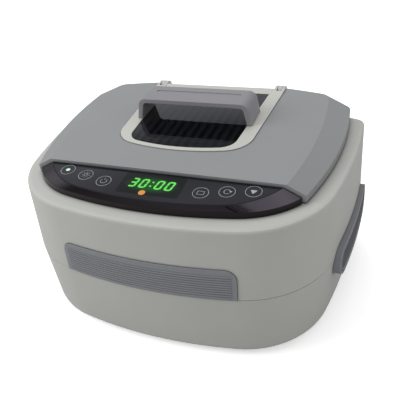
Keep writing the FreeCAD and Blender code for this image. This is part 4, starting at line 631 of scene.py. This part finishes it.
def apply_modifiers(piece):
    """Turns a piece's modifiers into mesh, in their order."""
    pick(piece)
    for modifier in list(piece.modifiers):
        bpy.ops.object.modifier_apply(modifier=modifier.name)


def finish_piece(piece, body, material):
    """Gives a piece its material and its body."""
    piece.data.materials.clear()
    piece.data.materials.append(material)
    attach(piece, body)


def thicken(piece, height):
    """Gives a flat printed shape its thickness, upwards."""
    edit(piece)
    bpy.ops.mesh.extrude_region_move(TRANSFORM_OT_translate={"value": (0, 0, height)})
    bpy.ops.mesh.select_all(action="SELECT")
    bpy.ops.mesh.normals_make_consistent(inside=False)
    leave()


def lay_on_panel(piece, name, height, spot, material):
    """Thickens a flat shape, lays it on the panel with its origin at a spot, and finishes it."""
    piece.name = piece.data.name = name
    thicken(piece, height)
    put(piece, lens_plane() @ Matrix.Translation(spot))
    finish_piece(piece, "casing", material)


def disc(radius):
    """A flat printed disc."""
    clear_selection()
    bpy.ops.mesh.primitive_circle_add(vertices=DISC_SIDES, radius=radius, fill_type="NGON")
    return bpy.context.object


def stamped(pattern, matrices):
    """Copies of a piece at each place, every one with its own mesh. The pattern itself goes."""
    copies = []
    for matrix in matrices:
        pick(pattern)
        bpy.ops.object.duplicate()
        copies.append(put(bpy.context.object, matrix))
    pick(pattern)
    bpy.ops.object.delete()
    return copies


def moved(x, y):
    """The move from the flat panel's origin to a place on it."""
    return Matrix.Translation((x, y, 0))


def ring(radius, line, gap_at=None, gap=0.0):
    """A flat printed ring, open by gap on each side of the heading gap_at."""
    clear_selection()
    bpy.ops.mesh.primitive_circle_add(vertices=RING_SIDES, radius=radius, fill_type="NGON")
    piece = bpy.context.object
    edit(piece)
    bpy.ops.mesh.inset(thickness=line)
    bpy.ops.mesh.delete(type="FACE")
    if gap_at is not None:
        heading = Vector((math.cos(gap_at), math.sin(gap_at), 0))
        select_vertices(piece, lambda v: v.co.normalized().dot(heading) > math.cos(gap))
        bpy.ops.mesh.delete(type="VERT")
    leave()
    return piece


def bar(x, y, along, across, heading=0.0, point=0.0):
    """A flat printed bar about (x, y), with its ends cut back by point."""
    clear_selection()
    bpy.ops.mesh.primitive_plane_add(size=1)
    piece = bpy.context.object
    piece.scale = (along, across, 1)
    bpy.ops.object.transform_apply(location=False, rotation=False, scale=True)
    if point:
        edit(piece)
        bpy.ops.mesh.bevel(affect="VERTICES", offset=point, offset_type="WIDTH")
        leave()
    return put(piece, moved(x, y) @ Matrix.Rotation(heading, 4, "Z"))


def triangle(x, y, radius, heading):
    """A flat printed triangle that points along the heading."""
    clear_selection()
    bpy.ops.mesh.primitive_circle_add(vertices=3, radius=radius, fill_type="NGON")
    piece = bpy.context.object
    edit(piece)
    bpy.ops.mesh.bevel(affect="VERTICES", offset=radius * BLUNTNESS, segments=2)
    leave()
    return put(piece, moved(x, y) @ Matrix.Rotation(heading - math.pi / 2, 4, "Z"))


# ------------------------------------------------------------------ operators

class CLEANER_OT_finish_frame(bpy.types.Operator):
    """Gives every CAD node the finish of its material slot"""
    bl_idname = "cleaner.finish_frame"
    bl_label = "Finish the frame"

    def execute(self, context):
        colours = context.scene.cleaner_colours
        made = {slot: make(colours) for slot, make in FINISHES.items()}
        for part in frame["record"]["subparts"]:
            mesh = nodes[part["node"]].data
            mesh.materials.clear()
            mesh.materials.append(made[part["material_slot"]])
        return {"FINISHED"}


class CLEANER_OT_badge_ribs(bpy.types.Operator):
    """Lays fine level ribs over the face of the front badge"""
    bl_idname = "cleaner.badge_ribs"
    bl_label = "Badge ribs"

    def execute(self, context):
        settings = context.scene.cleaner_badge
        left, right = badge_low.x + settings.side_border, badge_high.x - settings.side_border
        low, high = badge_low.z + settings.pitch, badge_high.z - settings.top_border
        clear_selection()
        bpy.ops.mesh.primitive_grid_add(x_subdivisions=RIB_STEPS, y_subdivisions=1, size=1,
                                        location=(0, badge_low.y - RIB_START, low),
                                        rotation=(math.pi / 2, 0, 0))
        ribs = bpy.context.object
        ribs.name = ribs.data.name = "badge_ribs"
        ribs.scale = (right - left, settings.width, 1)
        bpy.ops.object.transform_apply(location=True, rotation=True, scale=True)
        rows = ribs.modifiers.new("rows", "ARRAY")
        rows.use_relative_offset = False
        rows.use_constant_offset = True
        rows.constant_offset_displace = (0, 0, settings.pitch)
        rows.count = int((high - low) / settings.pitch) + 1
        seat = ribs.modifiers.new("seat", "SHRINKWRAP")
        seat.target = nodes["front_badge"]
        seat.wrap_method = "PROJECT"
        seat.use_project_y = True
        seat.use_project_z = False
        seat.use_positive_direction = True
        seat.use_negative_direction = False
        wall = ribs.modifiers.new("wall", "SOLIDIFY")
        wall.thickness = settings.depth
        wall.offset = 1
        soft = ribs.modifiers.new("soft", "BEVEL")
        soft.width = settings.depth * RIB_SOFTNESS
        soft.segments = 2
        soft.limit_method = "ANGLE"
        apply_modifiers(ribs)
        finish_piece(ribs, "casing", nodes["front_badge"].data.materials[0])
        return {"FINISHED"}


class CLEANER_OT_touch_marks(bpy.types.Operator):
    """Prints the six generic touch marks on the control lens"""
    bl_idname = "cleaner.touch_marks"
    bl_label = "Touch marks"

    def execute(self, context):
        settings = context.scene.cleaner_marks
        line, r = settings.line, settings.ring_radius
        symbols = ([], self.heat(r, line), self.power(r, line), self.box(r, line), self.turn(r, line),
                   [triangle(0, 0, r * 0.5, DOWN)])
        places = [moved(x * MM, y * MM) for x, y in MARK_PLACES]
        members = stamped(ring(r, line), places)
        for place_of_mark, symbol in zip(places, symbols):
            if symbol:
                members.append(put(joined("symbol", symbol), place_of_mark))
        marks = joined("touch_marks", members)
        thicken(marks, settings.lift)
        put(marks, lens_plane())
        finish_piece(marks, "casing", printed_ink(context.scene.cleaner_colours))
        return {"FINISHED"}

    def heat(self, r, line):
        """A small ring with rays round it."""
        core, away, ray = r * 0.28, r * 0.5, r * 0.2
        turns = [Matrix.Rotation(i * math.tau / RAYS, 4, "Z") for i in range(RAYS)]
        return [ring(core, line), *stamped(bar(away, 0, ray, line), turns)]

    def power(self, r, line):
        """A ring that is open at the top, with an upright bar in the gap."""
        radius, gap, stem = r * 0.45, 0.7, r * 0.4
        return [ring(radius, line, UP, gap), bar(0, stem, line, stem)]

    def box(self, r, line):
        """A frame of four bars, wider than it is high."""
        half, high = r * 0.42, r * 0.3
        return [*stamped(bar(0, 0, 2 * half, line), (moved(0, high), moved(0, -high))),
                *stamped(bar(0, 0, line, 2 * high), (moved(half, 0), moved(-half, 0)))]

    def turn(self, r, line):
        """A ring that is open on the right, with an arrowhead in the gap."""
        radius, gap, head = r * 0.42, 0.6, r * 0.22
        return [ring(radius, line, 0.0, gap), triangle(radius, r * 0.1, head, DOWN)]


class CLEANER_OT_display(bpy.types.Operator):
    """Adds the dark display window, the lit digits and the glow round them"""
    bl_idname = "cleaner.display"
    bl_label = "Display"

    def execute(self, context):
        settings = context.scene.cleaner_display
        colours = context.scene.cleaner_colours
        lift = context.scene.cleaner_marks.lift
        glass_top, glow_top = lift * GLASS_SHARE, lift * (GLASS_SHARE + GLOW_SHARE)
        glass = bar(0, settings.centre_y, settings.width, settings.depth, point=DISPLAY_CORNER)
        lay_on_panel(glass, "display_glass", lift * GLASS_SHARE, (0, 0, 0), display_glass(settings))
        glow = self.digits(settings, settings.stroke + settings.glow)
        lay_on_panel(glow, "digit_glow", lift * GLOW_SHARE, (0, 0, glass_top),
                     light_material("green light behind the lens", linear("1F9A22"), 0.28, "0C1A0D"))
        digits = self.digits(settings, settings.stroke)
        lay_on_panel(digits, "display_digits", lift, (0, 0, glow_top),
                     light_material("green light-emitting digits", colours.digits, 0.85, "20402A"))
        return {"FINISHED"}

    def digits(self, settings, stroke):
        """The digits and the colon of the time shown, with bars as wide as the stroke."""
        high, wide, thin = settings.digit_height, settings.digit_width, settings.stroke
        advance = wide * ADVANCE
        count = len(settings.text.replace(":", ""))
        x = -(count - 1) / 2 * advance - (COLON * advance if ":" in settings.text else 0)
        middle = settings.centre_y + DIGITS_RAISE
        dots, level_bars, slanting_bars = [], [], []
        for letter in settings.text:
            if letter == ":":
                x -= advance * COLON
                dots += [moved(x + SLANT * side * high, middle + side * high)
                         for side in (-COLON_SPREAD, COLON_SPREAD)]
                x += advance * (1 - COLON)
                continue
            for name in LIT[letter]:
                across, up = BARS[name]
                y = up * (high - thin) / 2
                spot = moved(x + across * (wide - thin) / 2 + SLANT * y, middle + y)
                (level_bars if name in "adg" else slanting_bars).append(spot)
            x += advance
        spread, point = stroke - thin, stroke * BAR_POINT
        level = bar(0, 0, (wide - thin) * BAR_FILL + spread, stroke, 0, point)
        slanting = bar(0, 0, (high - thin) / 2 * BAR_FILL + spread, stroke, UP - math.atan(SLANT), point)
        dot = bar(0, 0, stroke, stroke, point=stroke * DOT_POINT)
        members = [*stamped(level, level_bars), *stamped(slanting, slanting_bars), *stamped(dot, dots)]
        return joined("display_digits", members)


class CLEANER_OT_lights(bpy.types.Operator):
    """Adds the orange status light under the display and the pale green one in the first touch mark"""
    bl_idname = "cleaner.lights"
    bl_label = "Indicator lights"

    def execute(self, context):
        display, settings = context.scene.cleaner_display, context.scene.cleaner_lights
        colours = context.scene.cleaner_colours
        lift = context.scene.cleaner_marks.lift
        spot = (STATUS_X, display.centre_y - display.depth * STATUS_DROP, lift)
        lay_on_panel(disc(settings.status_radius), "status_light", lift, spot,
                     light_material("orange indicator light", colours.indicator, 0.8, "402410"))
        spot = (MARK_PLACES[0][0] * MM, MARK_PLACES[0][1] * MM, 0)
        lay_on_panel(disc(settings.ready_radius), "ready_light", lift, spot,
                     light_material("pale green indicator light", colours.ready, 0.9, "1C2A1E"))
        return {"FINISHED"}


class CLEANER_OT_studio(bpy.types.Operator):
    """Sets up the floor, the soft light, the white surroundings and the camera"""
    bl_idname = "cleaner.studio"
    bl_label = "Studio"

    def execute(self, context):
        settings = context.scene.cleaner_studio
        self.floor(settings)
        self.world(context.scene, settings)
        self.lamps(settings)
        self.camera(context.scene, settings)
        context.scene.view_settings.view_transform = "Standard"
        return {"FINISHED"}

    def floor(self, settings):
        """White paper that keeps the object's shadow, and is darker where only the object sees it."""
        clear_selection()
        bpy.ops.mesh.primitive_plane_add(size=FLOOR_SIZE)
        floor = bpy.context.object
        floor.name = "studio_floor"
        material, tree, output, at = new_material("white seamless paper")
        fibre = add(tree, "TexNoise", Vector=at, Scale=per(FIBRE_MM), Detail=3.0)
        bump = add(tree, "Bump", Strength=0.05, Distance=0.05 * MM, Height=fibre.outputs["Fac"])
        seen = add(tree, "BsdfDiffuse", Color=linear("F2F2F2"), Normal=bump.outputs["Normal"])
        glow = add(tree, "Emission", Color=(1, 1, 1, 1), Strength=settings.floor_glow)
        both = add(tree, "AddShader", Shader=seen.outputs["BSDF"], Shader_001=glow.outputs["Emission"])
        unseen = add(tree, "BsdfDiffuse", Color=linear("C4C4C4"), Normal=bump.outputs["Normal"])
        path = add(tree, "LightPath")
        paper = add(tree, "MixShader", Fac=path.outputs["Is Camera Ray"], Shader=unseen.outputs["BSDF"],
                    Shader_001=both.outputs["Shader"])
        tree.links.new(paper.outputs["Shader"], output.inputs["Surface"])
        floor.data.materials.append(material)

    def world(self, scene, settings):
        """White to the camera, even light on the object, and a graded room for glossy faces."""
        world = bpy.data.worlds.new("white studio")
        world.use_nodes = True
        tree = world.node_tree
        tree.nodes.clear()
        path = add(tree, "LightPath")
        towards = add(tree, "SeparateXYZ", Vector=add(tree, "TexCoord").outputs["Generated"])
        room = add(tree, "ValToRGB", Fac=towards.outputs["Z"])
        stops = room.color_ramp.elements
        stops.remove(stops[1])
        for index, (height, level) in enumerate(ROOM):
            stop = stops.new(height) if index else stops[0]
            stop.position, stop.color = height, (*(level * tint for tint in ROOM_TINT), 1)
        even = (settings.fill, settings.fill, settings.fill, 1)
        lit = mixed(tree, path.outputs["Is Glossy Ray"], even, room.outputs["Color"])
        seen = mixed(tree, path.outputs["Is Camera Ray"], lit, (1, 1, 1, 1))
        light = add(tree, "Background", Color=seen, Strength=1.0)
        output = add(tree, "OutputWorld")
        tree.links.new(light.outputs["Background"], output.inputs["Surface"])
        scene.world = world

    def lamps(self, settings):
        """Round lamps that face the object's middle and that glossy faces don't mirror."""
        middle = (Vector(cad_box[0]) + Vector(cad_box[1])) / 2
        for name, spot, size, share in LAMPS:
            data = bpy.data.lights.new(f"{name}_lamp", "AREA")
            data.shape = "DISK"
            data.size = size
            data.energy = settings.key_power * share
            lamp = bpy.data.objects.new(f"{name}_lamp", data)
            bpy.context.scene.collection.objects.link(lamp)
            lamp.location = spot
            lamp.visible_glossy = False
            lamp.rotation_euler = (middle - lamp.location).to_track_quat("-Z", "Y").to_euler()

    def camera(self, scene, settings):
        """A camera at its place, turned, tilted and leaned by the settings."""
        azimuth, elevation = settings.azimuth, settings.elevation
        forward = Vector((-math.sin(azimuth) * math.cos(elevation),
                          math.cos(azimuth) * math.cos(elevation), -math.sin(elevation)))
        right = Vector((math.cos(azimuth), math.sin(azimuth), 0))
        up = right.cross(forward)
        lean = Matrix.Rotation(-settings.roll, 3, forward)
        turn = Matrix((lean @ right, lean @ up, -forward)).transposed().to_4x4()
        data = bpy.data.cameras.new("studio_camera")
        data.sensor_width = SENSOR_MM
        data.lens = settings.lens
        data.shift_x, data.shift_y = settings.shift
        camera = bpy.data.objects.new("studio_camera", data)
        scene.collection.objects.link(camera)
        camera.matrix_world = Matrix.Translation(settings.position) @ turn
        scene.camera = camera


class CLEANER_PT_panel(bpy.types.Panel):
    """A button for each operator, and every setting below them"""
    bl_label = "Ultrasonic cleaner"
    bl_idname = "CLEANER_PT_panel"
    bl_space_type = "VIEW_3D"
    bl_region_type = "UI"
    bl_category = "Cleaner"

    def draw(self, context):
        for operator in OPERATORS:
            self.layout.operator(operator.bl_idname)
        for name in SETTINGS:
            group = getattr(context.scene, name)
            box = self.layout.box()
            for prop in group.bl_rna.properties.keys():
                if prop not in ("rna_type", "name"):
                    box.prop(group, prop)


OPERATORS = (CLEANER_OT_finish_frame, CLEANER_OT_badge_ribs, CLEANER_OT_touch_marks, CLEANER_OT_display,
             CLEANER_OT_lights, CLEANER_OT_studio)


def register():
    """Registers the settings, the operators and the panel."""
    for kind in (*SETTINGS.values(), *OPERATORS, CLEANER_PT_panel):
        bpy.utils.register_class(kind)
    for name, group in SETTINGS.items():
        setattr(bpy.types.Scene, name, PointerProperty(type=group))


def unregister():
    """Takes them all away again."""
    for name in SETTINGS:
        delattr(bpy.types.Scene, name)
    for kind in reversed((*SETTINGS.values(), *OPERATORS, CLEANER_PT_panel)):
        bpy.utils.unregister_class(kind)


def main():
    """Runs every operator."""
    register()
    bpy.ops.cleaner.finish_frame()
    bpy.ops.cleaner.badge_ribs()
    bpy.ops.cleaner.touch_marks()
    bpy.ops.cleaner.display()
    bpy.ops.cleaner.lights()
    bpy.ops.cleaner.studio()


if __name__ == "__main__":
    main()
